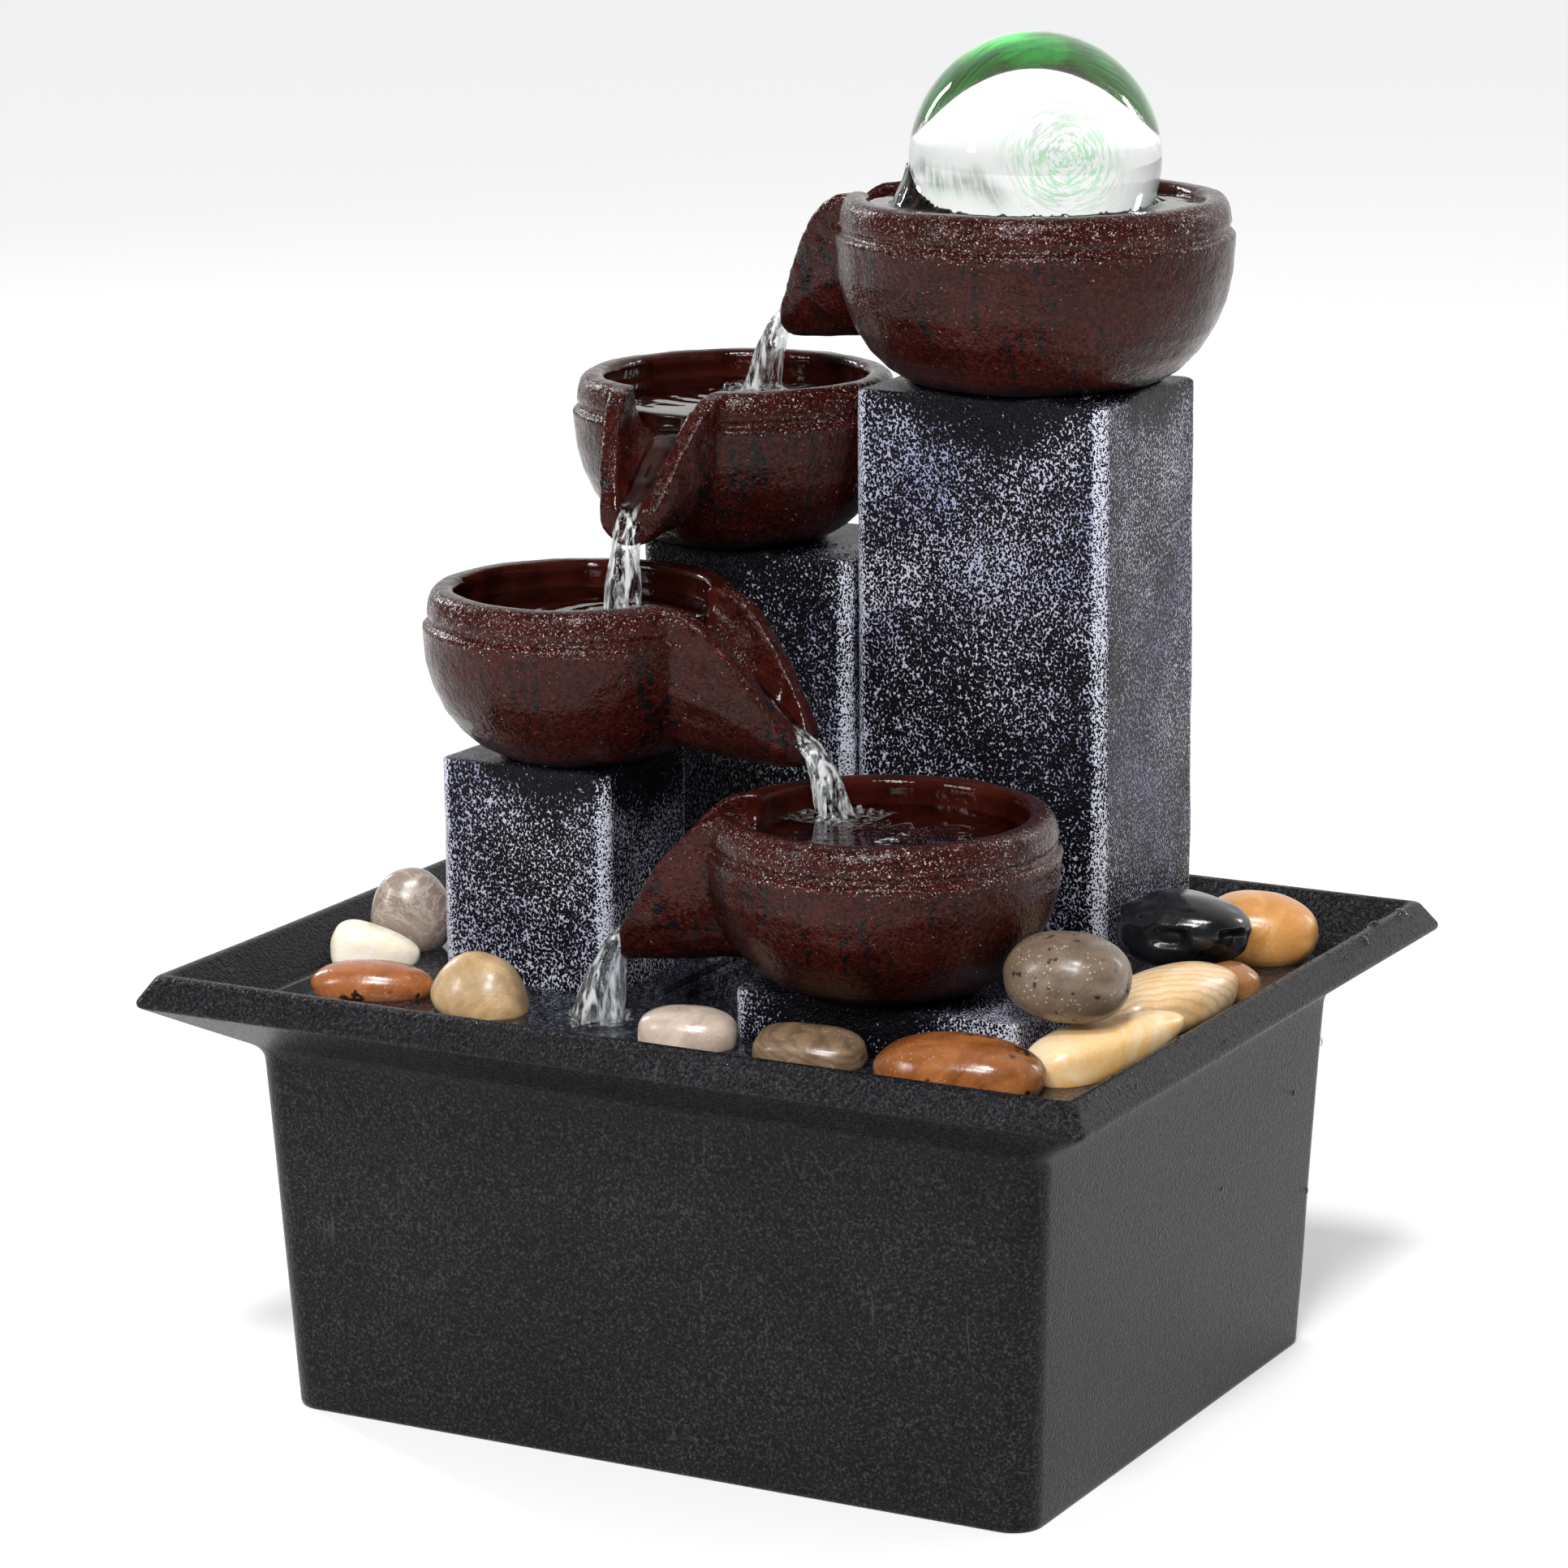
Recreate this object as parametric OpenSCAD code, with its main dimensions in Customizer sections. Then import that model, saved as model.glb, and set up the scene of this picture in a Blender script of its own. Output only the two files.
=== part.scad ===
// Tabletop water fountain: four bowls on square columns over a pebble tray.
// Millimetres, +Z up, origin at the middle of the underside of the basin.
// +X runs along the front face, +Y to the back.

/* [Basin] */
// Width over the rim
basin_w = 212; // [208:1:218]
// Depth over the rim
basin_d = 178; // [176:1:184]
// Width of the underside
foot_w = 170; // [164:1:174]
// Depth of the underside
foot_d = 136; // [132:1:140]
// Height where the wall turns out into the rim
body_top = 77.5; // [76:0.5:78]
// Height of the outer lip of the rim
rim_lip_z = 89; // [87:0.5:90]
// Height of the crest of the rim
rim_top = 94.2; // [93:0.1:96]
// Wall thickness
wall = 2.5; // [2:0.1:3]

/* [Columns] */
// Height of the top of the tall column
tall_top = 205.5; // [200:0.5:210]
// Height of the top of the rear column
rear_top = 169.6; // [166:0.2:172]
// Height of the top of the left column
left_top = 131.6; // [130:0.2:134]
// Height of the top of the front plinth
plinth_top = 95.4; // [94:0.2:98]
// Thickness of the cast shells
shell = 4; // [3:0.5:5]

/* [Bowls] */
// Rim radius of the top bowl
top_bowl_r = 39.3; // [38:0.1:40]
// Rim radius of the rear bowl
rear_bowl_r = 32.5; // [31:0.1:33]
// Rim radius of the left bowl
left_bowl_r = 30.9; // [30:0.1:32]
// Rim radius of the front bowl
front_bowl_r = 33.5; // [32:0.1:34]
// Height of the top bowl
top_bowl_h = 39; // [38:0.5:41]
// Height of the three lower bowls
bowl_h = 36; // [34:0.5:37]

/* [Ball] */
// Diameter of the glass ball
ball_d = 52; // [50:0.5:54]
// Water film between the ball and its seat
film = 0.3; // [0.2:0.05:0.5]

/* [Pump] */
// Radius of the outlet spigot
spigot_r = 3.9; // [3.5:0.1:4.2]
// Wall thickness of the riser tube
tube_wall = 1.6; // [1.2:0.1:1.8]
// Number of impeller vanes
vanes = 6; // [4:1:8]

/* [Hidden] */
$fn = 64;
gap = 0.3;
fit = 0.05;
eps = 0.01;

// Basin
body_flare = 17;
body_w = basin_w - 2 * body_flare;
body_d = basin_d - 2 * body_flare;
edge_r = 6.5;
floor_z = 3;
ledge = 1.5;
flare_foot_z = 80.5;
crest_in = 3.2;
crest_t = 2;

// Tray that lies on the ledge inside the basin
tray_bottom = body_top + 0.2;
tray_top = 82;
tray_w = body_w - 2 * (wall - ledge) - 0.6;
tray_d = body_d - 2 * (wall - ledge) - 0.6;
leg_x = 76;
leg_y = 58;

// Column footprints: [x low, x high, y low, y high]
TALL = [-0.2, 57.2, 24, 70.3];
REAR = [-50, -0.2, 22, 62];
LEFT = [-69, -29, -30, 5];
PLINTH = [8, 71, -45, -9];
bevel = 2;

// Bowl axes: [x, y], and the way each spout points, in degrees from +X
TOP_AT = [30.3, 47.5];
REAR_AT = [-34, 36];
LEFT_AT = [-43.2, -14];
FRONT_AT = [34.7, -30];
top_turn = 180;
rear_turn = -89;
left_turn = -3.9;
front_turn = 196;
top_reach = 56.5;
rear_reach = 48;
left_reach = 53.5;
front_reach = 53;

// How far the spout tips lie below the rims
spout_drop = 29.5;
rear_drop = 26.5;

// Ball, its seat and the lamp below it
ball_r = ball_d / 2;
ball_z = 252;
ball_at = [TOP_AT[0], TOP_AT[1], ball_z];
cup_r = 17;
cup_in = 13.5;
bowl_floor = 6.5;
cup_z = tall_top + bowl_floor;
cup_floor = 2.5;
seat_h = 24;
post_at = 8.2;
post_r = 1.2;
lamp_z = cup_z + cup_floor + 2.5;
lamp_r = 10.2;
lamp_wall = 1.6;
lead_r = 1.2;
lead_x = TOP_AT[0] - 8.5;
lead_hole_r = 3;

// Pump, with the impeller axis along X and the spigot under the riser tube
pump_x = TOP_AT[0];
pump_y = TOP_AT[1];
axis_z = 24;
motor_x0 = pump_x - 42;
motor_x1 = pump_x - 7;
motor_half = 14;
motor_z0 = 8;
motor_z1 = 42;
volute_r = 14;
volute_x1 = pump_x + 5;
chamber_r = 12;
chamber_x0 = motor_x1 + 1.5;
well_r = 7.4;
well_x0 = motor_x0 + 10;
shaft_r = 1.19;
shaft_x0 = well_x0 - 4;
cover_t = 2.5;
cover_x1 = volute_x1 + cover_t;
spigot_top = 52;
spigot_bore = 2.6;
socket_x = pump_x - 16.3;
socket_r = 5;
plug_r = 3;
gland_r = 3.6;
gland_z = motor_z1 - 8;
gland_depth = 4;
lead_in_r = 2.3;
socket_top = motor_z1 + 8;
plug_top = 58;
strainer_in = volute_r + gap;
strainer_wall = 1.6;
strainer_x0 = volute_x1 + gap;
strainer_x1 = volute_x1 + 15;
dial_x = strainer_x1 + 0.25;
dial_t = 1.8;
dial_r = 9.2;
port_count = 8;
port_ring = 6.2;
riser_r = spigot_r + 0.1 + tube_wall;
riser_bottom = motor_z1 - 2;

// Lamp lead, from the underside of the lamp down to its plug: [x, z]
LEAD = [
    [lead_x, lamp_z], [lead_x, 211], [lead_x, 205], [lead_x, 199],
    [lead_x - 0.6, 193], [lead_x - 1.8, 187], [lead_x - 2.8, 180],
    [lead_x - 3.2, 172], [lead_x - 3, 163], [lead_x - 2.2, 154],
    [lead_x - 1.6, 145], [lead_x - 1.8, 136], [lead_x - 2.8, 127],
    [lead_x - 4.2, 118], [lead_x - 5.2, 109], [lead_x - 5.6, 100],
    [lead_x - 5.7, 91], [lead_x - 5.9, 83], [lead_x - 6.6, 76],
    [socket_x + 0.3, 69], [socket_x, 63], [socket_x, plug_top]
];

// Pebbles: [name, x, y, z, length, width, height, turn, tilt, seed, colour]
PEBBLES = [
    ["pebble_grey_upright", -86, -15, 93.4, 17, 12, 19, 30, 0, 1, "#8d8178"],
    ["pebble_cream_wedge", -84.5, -31.5, 89, 18, 12, 11, 25, 8, 2, "#ecd9b4"],
    ["pebble_rust_flat", -73, -50, 87.4, 25, 13, 10, 22, 0, 3, "#a9632f"],
    ["pebble_tan_leaning", -47, -50, 89.6, 21, 15, 15, 8, 12, 4, "#b5925f"],
    ["pebble_pale_quartz", 3, -54.5, 87.5, 21, 13, 11, 18, 0, 5, "#b5a594"],
    ["pebble_olive_striped", 31, -55, 87.2, 24, 14, 10, 12, 0, 6, "#8b7752"],
    ["pebble_orange_spotted", 67, -60, 89.3, 35, 19, 14.4, 8, 0, 7, "#b06a31"],
    ["pebble_cream_long", 85, -33, 89.8, 37, 15, 12, 62, -8, 8, "#e3c084"],
    ["pebble_striped_flat", 82, 3, 90, 35, 18, 14, 74, -2, 9, "#d9bb85"],
    ["pebble_speckled_round", 79, -38.6, 104.4, 24, 21, 17, 10, 0, 10, "#7c6e5f"],
    ["pebble_black_lump", 72.4, 33, 96.6, 27, 20, 16, 12, 0, 11, "#17171a"],
    ["pebble_orange_large", 77.5, 58.5, 91, 25, 19, 17, 20, 0, 12, "#bd8648"],
    ["pebble_brown_small", 84.5, 26.5, 87.6, 14, 11, 10, 60, 0, 13, "#94602f"],
    ["pebble_tan_hidden", -76, 4, 87.4, 22, 14, 10, 70, 0, 14, "#b29a72"],
    ["pebble_grey_hidden", -62.2, 21, 88.5, 20, 15, 12, 15, 0, 15, "#8a8580"],
    ["pebble_rust_hidden", -79, 27, 88.2, 21, 14, 11.6, 95, 0, 16, "#9d5b30"],
    ["pebble_cream_hidden", -62, 42, 87.6, 20, 14, 10.4, 75, 0, 17, "#dcc9a2"],
    ["pebble_dark_hidden", -78, 53, 88.6, 24, 17, 12.4, 60, 0, 18, "#35322f"]
];

// Shared shapes

// Closed solid through a stack of rings that all have the same number of points
module loft(rings) {
    n = len(rings[0]);
    last = (len(rings) - 1) * n;
    sides = [
        for (i = [0:len(rings) - 2], j = [0:n - 1])
            [i * n + j, (i + 1) * n + j, (i + 1) * n + (j + 1) % n, i * n + (j + 1) % n]
    ];
    polyhedron(
        points = [for (ring = rings, p = ring) p],
        faces = concat(
            sides,
            [[for (j = [0:n - 1]) j]],
            [[for (j = [0:n - 1]) last + n - 1 - j]]
        )
    );
}

// Rounded rectangle at one height
function ring(w, d, r, z) = [
    for (q = [0:3], k = [0:5])
        let (
            a = 90 * q + 18 * k,
            cx = (q == 0 || q == 3 ? 1 : -1) * (w / 2 - r),
            cy = (q < 2 ? 1 : -1) * (d / 2 - r)
        )
        [cx + r * cos(a), cy + r * sin(a), z]
];

// Rectangle with cut corners, given as [x low, x high, y low, y high]
module beveled(box, cut) {
    polygon([
        [box[0] + cut, box[2]], [box[1] - cut, box[2]],
        [box[1], box[2] + cut], [box[1], box[3] - cut],
        [box[1] - cut, box[3]], [box[0] + cut, box[3]],
        [box[0], box[3] - cut], [box[0], box[2] + cut]
    ]);
}

module box_between(low, high) {
    translate(low)
        cube(high - low);
}

module rod_x(x0, x1, r, y = pump_y, z = axis_z) {
    translate([x0, y, z])
        rotate([0, 90, 0])
            cylinder(h = x1 - x0, r = r);
}

function inset(box, t) = [box[0] + t, box[1] - t, box[2] + t, box[3] - t];

// Bowls

ridge_out = 1.9;
ridge_drop = 8;
rim_t = 5;

function foot_r(r) = r - 20 + (r > 36 ? 1 : 0);

// Outer half of a bowl: round belly, ridge, groove, rim band
function bowl_outline(r, h) =
    let (f = foot_r(r), belly = r + ridge_out, top = h - ridge_drop - 1.5)
    concat(
        [[0, 0], [f, 0]],
        [for (t = [18:12:90]) [f + (belly - f) * sin(t), top * (1 - cos(t))]],
        [
            [belly, h - ridge_drop], [belly - 0.5, h - ridge_drop + 0.7],
            [belly - 1.2, h - ridge_drop + 1], [belly - 1.1, h - ridge_drop + 1.9],
            [belly - 0.7, h - ridge_drop + 2.6], [r + 0.9, h - 3.2],
            [r + 0.4, h - 1.4], [r - 0.5, h - 0.4], [r - 1.6, h], [0, h]
        ]
    );

// Hollow of a bowl, with a rounded inner edge
function bowl_hollow(r, h) =
    let (inner = r - rim_t, f = inner - 17, top = h - 4)
    concat(
        [[0, bowl_floor], [f, bowl_floor]],
        [
            for (t = [18:12:90])
                [f + (inner + 0.6 - f) * sin(t), bowl_floor + (top - bowl_floor) * (1 - cos(t))]
        ],
        [[inner + 0.1, h - 1.6], [inner + 0.5, h - 0.5], [inner + 1.4, h], [inner + 1.4, h + 1]],
        [[0, h + 1]]
    );

// Cross-section of the spout at distance s: half width w, top, bottom
function u_section(s, w, top, bottom) =
    let (bend = top - 0.35 * (top - bottom))
    concat(
        [[s, -w, top]],
        [for (k = [0:9]) [s, -w * cos(20 * k), bend - (bend - bottom) * sin(20 * k)]],
        [[s, w, top]]
    );

module spout_body(r, h, reach, drop, bulge) {
    start = r - 9;
    loft([
        for (k = [0:8])
            let (
                s = start + (reach - start) * k / 8,
                u = max(0, (s - r + 1.5) / (reach - r + 1.5)),
                w = 12.8 - 6.4 * pow(u, 1.5),
                top = h - 0.3 - (drop - 4.4) * pow(u, bulge),
                bottom = h - drop - 3.2 + 1.2 * pow(1 - u, 2)
            )
            u_section(s, w, top, bottom)
    ]);
}

module spout_channel(r, h, reach, drop) {
    start = r - 13;
    loft([
        for (k = [0:8])
            let (
                s = start + (reach + 1 - start) * k / 8,
                u = max(0, (s - r + 8) / (reach + 1 - r + 8)),
                w = 10.2 - 6.2 * pow(u, 1.2),
                ground = h - 8.5 - (drop - 8.5) * pow(u, 1.15)
            )
            u_section(s, w, h + 1.5, ground)
    ]);
}

module bowl(r, h, turn, reach, drop = spout_drop, bulge = 1.55) {
    difference() {
        union() {
            rotate_extrude()
                polygon(bowl_outline(r, h));
            rotate([0, 0, turn])
                spout_body(r, h, reach, drop, bulge);
        }
        rotate_extrude()
            polygon(bowl_hollow(r, h));
        rotate([0, 0, turn])
            spout_channel(r, h, reach, drop);
    }
}

// Columns

// Cast shell, open underneath, with a low collar round the foot of its bowl
module column_shell(box, top, at, r, h = bowl_h) {
    f = foot_r(r);
    difference() {
        union() {
            translate([0, 0, tray_top])
                linear_extrude(top - tray_top)
                    beveled(box, bevel);
            intersection() {
                translate([at[0], at[1], top - eps])
                    cylinder(h = 2, r1 = f + 8, r2 = f + 4.5);
                translate([0, 0, top - 1])
                    linear_extrude(4)
                        beveled(inset(box, 0.6), bevel);
            }
        }
        translate([0, 0, tray_top - 1])
            linear_extrude(top - tray_top + 1 - shell)
                beveled(inset(box, shell), bevel);
        translate([at[0], at[1], top])
            rotate_extrude()
                polygon(bowl_outline(r, h));
    }
}

// Parts of the basin body

module basin() {
    in_w = body_w - 2 * wall;
    in_d = body_d - 2 * wall;
    low_w = foot_w - 2 * wall + 0.6;
    low_d = foot_d - 2 * wall + 0.6;
    sill_w = in_w + 2 * ledge;
    sill_d = in_d + 2 * ledge;
    crest_w = basin_w - 2 * crest_in;
    crest_d = basin_d - 2 * crest_in;
    color("#2b2b2e")
        difference() {
            loft([
                ring(foot_w - 3, foot_d - 3, edge_r - 1.5, 0),
                ring(foot_w - 1, foot_d - 1, edge_r - 0.5, 0.5),
                ring(foot_w, foot_d, edge_r, 1.6),
                ring(body_w, body_d, edge_r, body_top),
                ring(basin_w - 0.8, basin_d - 0.8, 2.2, rim_lip_z - 0.6),
                ring(basin_w, basin_d, 2, rim_lip_z),
                ring(crest_w + 0.6, crest_d + 0.6, 1.6, rim_top - 0.6),
                ring(crest_w - 0.6, crest_d - 0.6, 1.4, rim_top)
            ]);
            loft([
                ring(low_w, low_d, edge_r - wall, floor_z),
                ring(in_w, in_d, edge_r - wall, body_top),
                ring(sill_w, sill_d, edge_r - 1, body_top),
                ring(sill_w, sill_d, edge_r - 1, flare_foot_z),
                ring(crest_w - 2 * crest_t, crest_d - 2 * crest_t, 1.2, rim_top - 0.3),
                ring(crest_w - 2 * crest_t + 0.8, crest_d - 2 * crest_t + 0.8, 1.2, rim_top + 1)
            ]);
        }
}

module pump_housing() {
    color("#1d1d20")
        difference() {
            union() {
                translate([0, 0, motor_z0])
                    linear_extrude(motor_z1 - motor_z0)
                        beveled(
                            [motor_x0, motor_x1, pump_y - motor_half, pump_y + motor_half],
                            2.5
                        );
                rod_x(motor_x1 - 1, volute_x1, volute_r);
                translate([pump_x, pump_y, axis_z])
                    cylinder(h = spigot_top - axis_z, r = spigot_r);
                translate([pump_x, pump_y, axis_z])
                    cylinder(h = riser_bottom - 1 - axis_z, r = spigot_r + 0.8);
                translate([socket_x, pump_y, motor_z1 - 1])
                    cylinder(h = socket_top - motor_z1 + 1, r = socket_r);
            }
            rod_x(chamber_x0, volute_x1 + 1, chamber_r);
            rod_x(well_x0, chamber_x0 + 1, well_r);
            rod_x(shaft_x0, well_x0 + 1, shaft_r);
            translate([pump_x, pump_y, axis_z])
                cylinder(h = spigot_top - axis_z + 1, r = spigot_bore);
            translate([socket_x, pump_y, motor_z1 + 1])
                cylinder(h = socket_top - motor_z1, r = plug_r + 0.25);
            stator_block();
            gland_bore(gland_depth);
        }
}

module stator_block() {
    difference() {
        box_between(
            [well_x0 + 1, pump_y - motor_half + 2, motor_z0 + 2],
            [motor_x1 - 4, pump_y + motor_half - 2, motor_z1 - 2]
        );
        rod_x(well_x0, motor_x1, well_r + 1.2);
    }
}

module pump_stator() {
    color("#7d5a3a")
        stator_block();
}

module pump_cover() {
    color("#26262a")
        difference() {
            rod_x(volute_x1, cover_x1, volute_r);
            difference() {
                rod_x(volute_x1 - 1, cover_x1 + 1, 6.5);
                rod_x(volute_x1 - 2, cover_x1 + 2, 2.8);
                for (k = [0:2])
                    translate([volute_x1 - 2, pump_y, axis_z])
                        rotate([120 * k, 0, 0])
                            translate([0, 0, -0.9])
                                cube([cover_t + 4, 7, 1.8]);
            }
            rod_x(volute_x1 - 1, volute_x1 + 1.6, shaft_r);
        }
}

module pump_shaft() {
    color("#e8e6e0")
        rod_x(shaft_x0, volute_x1 + 1.6, shaft_r);
}

module impeller() {
    magnet_r = well_r - 0.8;
    color("#3a3d45")
        difference() {
            union() {
                rod_x(well_x0 + 1, chamber_x0 + 0.5, magnet_r);
                rod_x(chamber_x0 + 0.4, chamber_x0 + 1.8, chamber_r - 1.2);
                rod_x(chamber_x0 + 0.4, volute_x1 - 1, 3.2);
                for (k = [0:vanes - 1])
                    translate([chamber_x0 + 1, pump_y, axis_z])
                        rotate([360 * k / vanes, 0, 0])
                            translate([0, 2, -0.6])
                                cube([volute_x1 - chamber_x0 - 2.2, chamber_r - 3.4, 1.2]);
            }
            rod_x(well_x0, volute_x1, shaft_r + fit + 0.01);
        }
}

module intake_strainer() {
    h = strainer_in + strainer_wall;
    color("#202024")
        difference() {
            box_between(
                [strainer_x0, pump_y - h, axis_z - h],
                [strainer_x1, pump_y + h, axis_z + h]
            );
            box_between(
                [strainer_x0 - 1, pump_y - strainer_in, axis_z - strainer_in],
                [strainer_x1 - strainer_wall, pump_y + strainer_in, axis_z + strainer_in]
            );
            rod_x(strainer_x1 - 4, strainer_x1 + 1, 2 + fit);
            for (k = [0:port_count - 1])
                rotate_about_axis(360 * k / port_count)
                    rod_x(strainer_x1 - 4, strainer_x1 + 1, 1.9, pump_y + port_ring);
            for (side = [-1, 1], k = [0:1])
                translate([strainer_x1 - 3, pump_y + side * (10.4 + 2.6 * k) - 0.7, axis_z - 10])
                    cube([5, 1.4, 20]);
        }
}

// Turns its child about the impeller axis
module rotate_about_axis(a) {
    translate([0, pump_y, axis_z])
        rotate([a, 0, 0])
            translate([0, -pump_y, -axis_z])
                children();
}

module flow_dial() {
    color("#c9682a")
        difference() {
            union() {
                rod_x(dial_x, dial_x + dial_t, dial_r);
                rod_x(strainer_x1 - strainer_wall - gap - 1, dial_x + 0.5, 2);
                rod_x(strainer_x1 - strainer_wall - gap - 1.6, strainer_x1 - strainer_wall - gap, 2.9);
                box_between(
                    [dial_x + 1, pump_y - 0.8, axis_z - 3.4],
                    [dial_x + dial_t + 2, pump_y + 0.8, axis_z + 3.4]
                );
            }
            for (k = [0:port_count - 1])
                rotate_about_axis(360 * k / port_count)
                    rod_x(dial_x - 1, dial_x + dial_t + 3, 1.9, pump_y + port_ring);
        }
}

module suction_cups() {
    color("#4a4a4e")
        for (dx = [6, 29], side = [-1, 1])
            translate([motor_x0 + dx, pump_y + side * 8.5, 0])
                rotate_extrude()
                    polygon([
                        [0, 4.6], [4.6, floor_z + 0.5], [5.4, floor_z], [6.2, floor_z],
                        [5.9, floor_z + 0.8], [3, 5.6], [2.4, motor_z0], [0, motor_z0]
                    ]);
}

// Where the supply lead enters the potted end of the motor
module gland_bore(depth) {
    rod_x(motor_x0 - 1, motor_x0 + depth, gland_r, pump_y, gland_z);
}

module cord_gland() {
    color("#111113")
        difference() {
            union() {
                rod_x(motor_x0, motor_x0 + gland_depth, gland_r, pump_y, gland_z);
                rod_x(motor_x0 - 2, motor_x0, gland_r + 1, pump_y, gland_z);
            }
            rod_x(motor_x0 - 3, motor_x0 + gland_depth - 1, lead_in_r, pump_y, gland_z);
        }
}

// Parts that lift out

module tray() {
    half_w = tray_w / 2;
    half_d = tray_d / 2;
    color("#34343b")
        difference() {
            translate([0, 0, tray_bottom])
                linear_extrude(tray_top - tray_bottom)
                    beveled([-half_w, half_w, -half_d, half_d], 5);
            translate([0, 0, tray_bottom - 1])
                linear_extrude(tray_top)
                    beveled([lead_x - 11, TOP_AT[0] + 7.5, TOP_AT[1] - 9, TOP_AT[1] + 9], 3);
            for (k = [0:4])
                box_between([-24 + 6 * k, -20, tray_bottom - 1], [-21 + 6 * k, 14, tray_top + 1]);
            for (k = [0:3])
                box_between([-24 + 9 * k, -68, tray_bottom - 1], [-21 + 9 * k, -50, tray_top + 1]);
            for (k = [0:3])
                box_between([-82 + 6 * k, 62, tray_bottom - 1], [-79 + 6 * k, 68, tray_top + 1]);
        }
}

module tray_legs() {
    color("#34343b")
        for (sx = [-1, 1], sy = [-1, 1])
            translate([sx * leg_x, sy * leg_y, floor_z + 0.2])
                cylinder(h = tray_bottom - floor_z - 0.2, r1 = 3.6, r2 = 4.6);
}

module column_tall() {
    color("#3b3b46")
        difference() {
            column_shell(TALL, tall_top, TOP_AT, top_bowl_r, top_bowl_h);
            tube_and_lead_holes(tall_top - shell - 1, tall_top + 1);
        }
}

module tube_and_lead_holes(z0, z1) {
    translate([TOP_AT[0], TOP_AT[1], z0])
        cylinder(h = z1 - z0, r = riser_r + fit);
    translate([lead_x, TOP_AT[1], z0])
        cylinder(h = z1 - z0, r = lead_r + 0.3);
}

module column_rear() {
    color("#33333b")
        column_shell(REAR, rear_top, REAR_AT, rear_bowl_r);
}

module column_left() {
    color("#3b3b46")
        column_shell(LEFT, left_top, LEFT_AT, left_bowl_r);
}

module plinth_front() {
    color("#33333b")
        column_shell(PLINTH, plinth_top, FRONT_AT, front_bowl_r);
}

module bowl_top() {
    color("#5a241b")
        difference() {
            translate([TOP_AT[0], TOP_AT[1], tall_top])
                bowl(top_bowl_r, top_bowl_h, top_turn, top_reach, bulge = 2);
            translate([TOP_AT[0], TOP_AT[1], tall_top - 1])
                cylinder(h = bowl_floor + 2, r = riser_r + fit);
            translate([lead_x, TOP_AT[1], tall_top - 1])
                cylinder(h = bowl_floor + 2, r = lead_r + 0.3);
            translate([lead_x, TOP_AT[1], cup_z - 3])
                cylinder(h = 4, r = 2.3);
        }
}

module bowl_rear() {
    color("#52211a")
        difference() {
            translate([REAR_AT[0], REAR_AT[1], rear_top])
                bowl(rear_bowl_r, bowl_h, rear_turn, rear_reach, rear_drop);
            box_between([TALL[0] - 0.02, TALL[2] - 2, rear_top], [TALL[1], TALL[3], tall_top + 5]);
        }
}

module bowl_left() {
    color("#5a241b")
        translate([LEFT_AT[0], LEFT_AT[1], left_top])
            bowl(left_bowl_r, bowl_h, left_turn, left_reach);
}

module bowl_front() {
    color("#52211a")
        translate([FRONT_AT[0], FRONT_AT[1], plinth_top])
            bowl(front_bowl_r, bowl_h, front_turn, front_reach);
}

// Cup that the ball floats in: water comes up inside it, round the lamp
module ball_seat() {
    color("#d8dde0", 0.8)
        difference() {
            translate([TOP_AT[0], TOP_AT[1], cup_z])
                cylinder(h = seat_h, r = cup_r);
            translate([TOP_AT[0], TOP_AT[1], cup_z + cup_floor])
                cylinder(h = seat_h, r = cup_in);
            translate(ball_at)
                sphere(r = ball_r + film);
            translate([TOP_AT[0], TOP_AT[1], cup_z - 1])
                cylinder(h = cup_floor + 2, r = riser_r + fit);
            translate([lead_x, TOP_AT[1], cup_z - 1])
                cylinder(h = cup_floor + 2, r = lead_r + 0.3);
        }
    color("#d8dde0", 0.8)
        for (a = [0, 120, 240])
            translate([TOP_AT[0], TOP_AT[1], cup_z + cup_floor])
                rotate([0, 0, a])
                    translate([post_at, 0, 0])
                        cylinder(h = lamp_z - cup_z - cup_floor, r = post_r);
}

module ball() {
    color("#dff2ec", 0.6)
        translate(ball_at)
            sphere(r = ball_r, $fn = 96);
}

module lamp_housing() {
    color("#e9e9ea")
        translate([TOP_AT[0], TOP_AT[1], lamp_z])
            difference() {
                cylinder(h = 5, r = lamp_r);
                translate([0, 0, 1.2])
                    cylinder(h = 5, r = lamp_r - lamp_wall);
            }
}

module lamp_board() {
    color("#1f6b3a")
        translate([TOP_AT[0], TOP_AT[1], lamp_z + 1.2]) {
            cylinder(h = 1.2, r = lamp_r - lamp_wall - 0.05);
            for (a = [45:90:315])
                rotate([0, 0, a])
                    translate([3.6, -1.2, 1.2 - eps])
                        cube([2.4, 2.4, 0.9]);
        }
}

module lamp_lens() {
    r = lamp_r - lamp_wall - 0.02;
    color("#f2fbf6", 0.6)
        translate([TOP_AT[0], TOP_AT[1], lamp_z + 3.5])
            rotate_extrude()
                polygon(concat(
                    [[0, 0], [r, 0], [r, 1.5]],
                    [for (a = [15:15:75]) [r * cos(a), 1.5 + 1.8 * sin(a)]],
                    [[0, 3.3]]
                ));
}

// Tube along a path that stays in the plane y = TOP_AT[1]
module lamp_lead() {
    n = len(LEAD);
    color("#0f0f11")
        loft([
            for (i = [0:n - 1])
                let (
                    step = LEAD[min(i + 1, n - 1)] - LEAD[max(i - 1, 0)],
                    t = step / norm(step)
                )
                [
                    for (k = [0:7])
                        let (a = -45 * k)
                        [
                            LEAD[i][0] - lead_r * sin(a) * t[1],
                            TOP_AT[1] + lead_r * cos(a),
                            LEAD[i][1] + lead_r * sin(a) * t[0]
                        ]
                ]
        ]);
}

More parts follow.
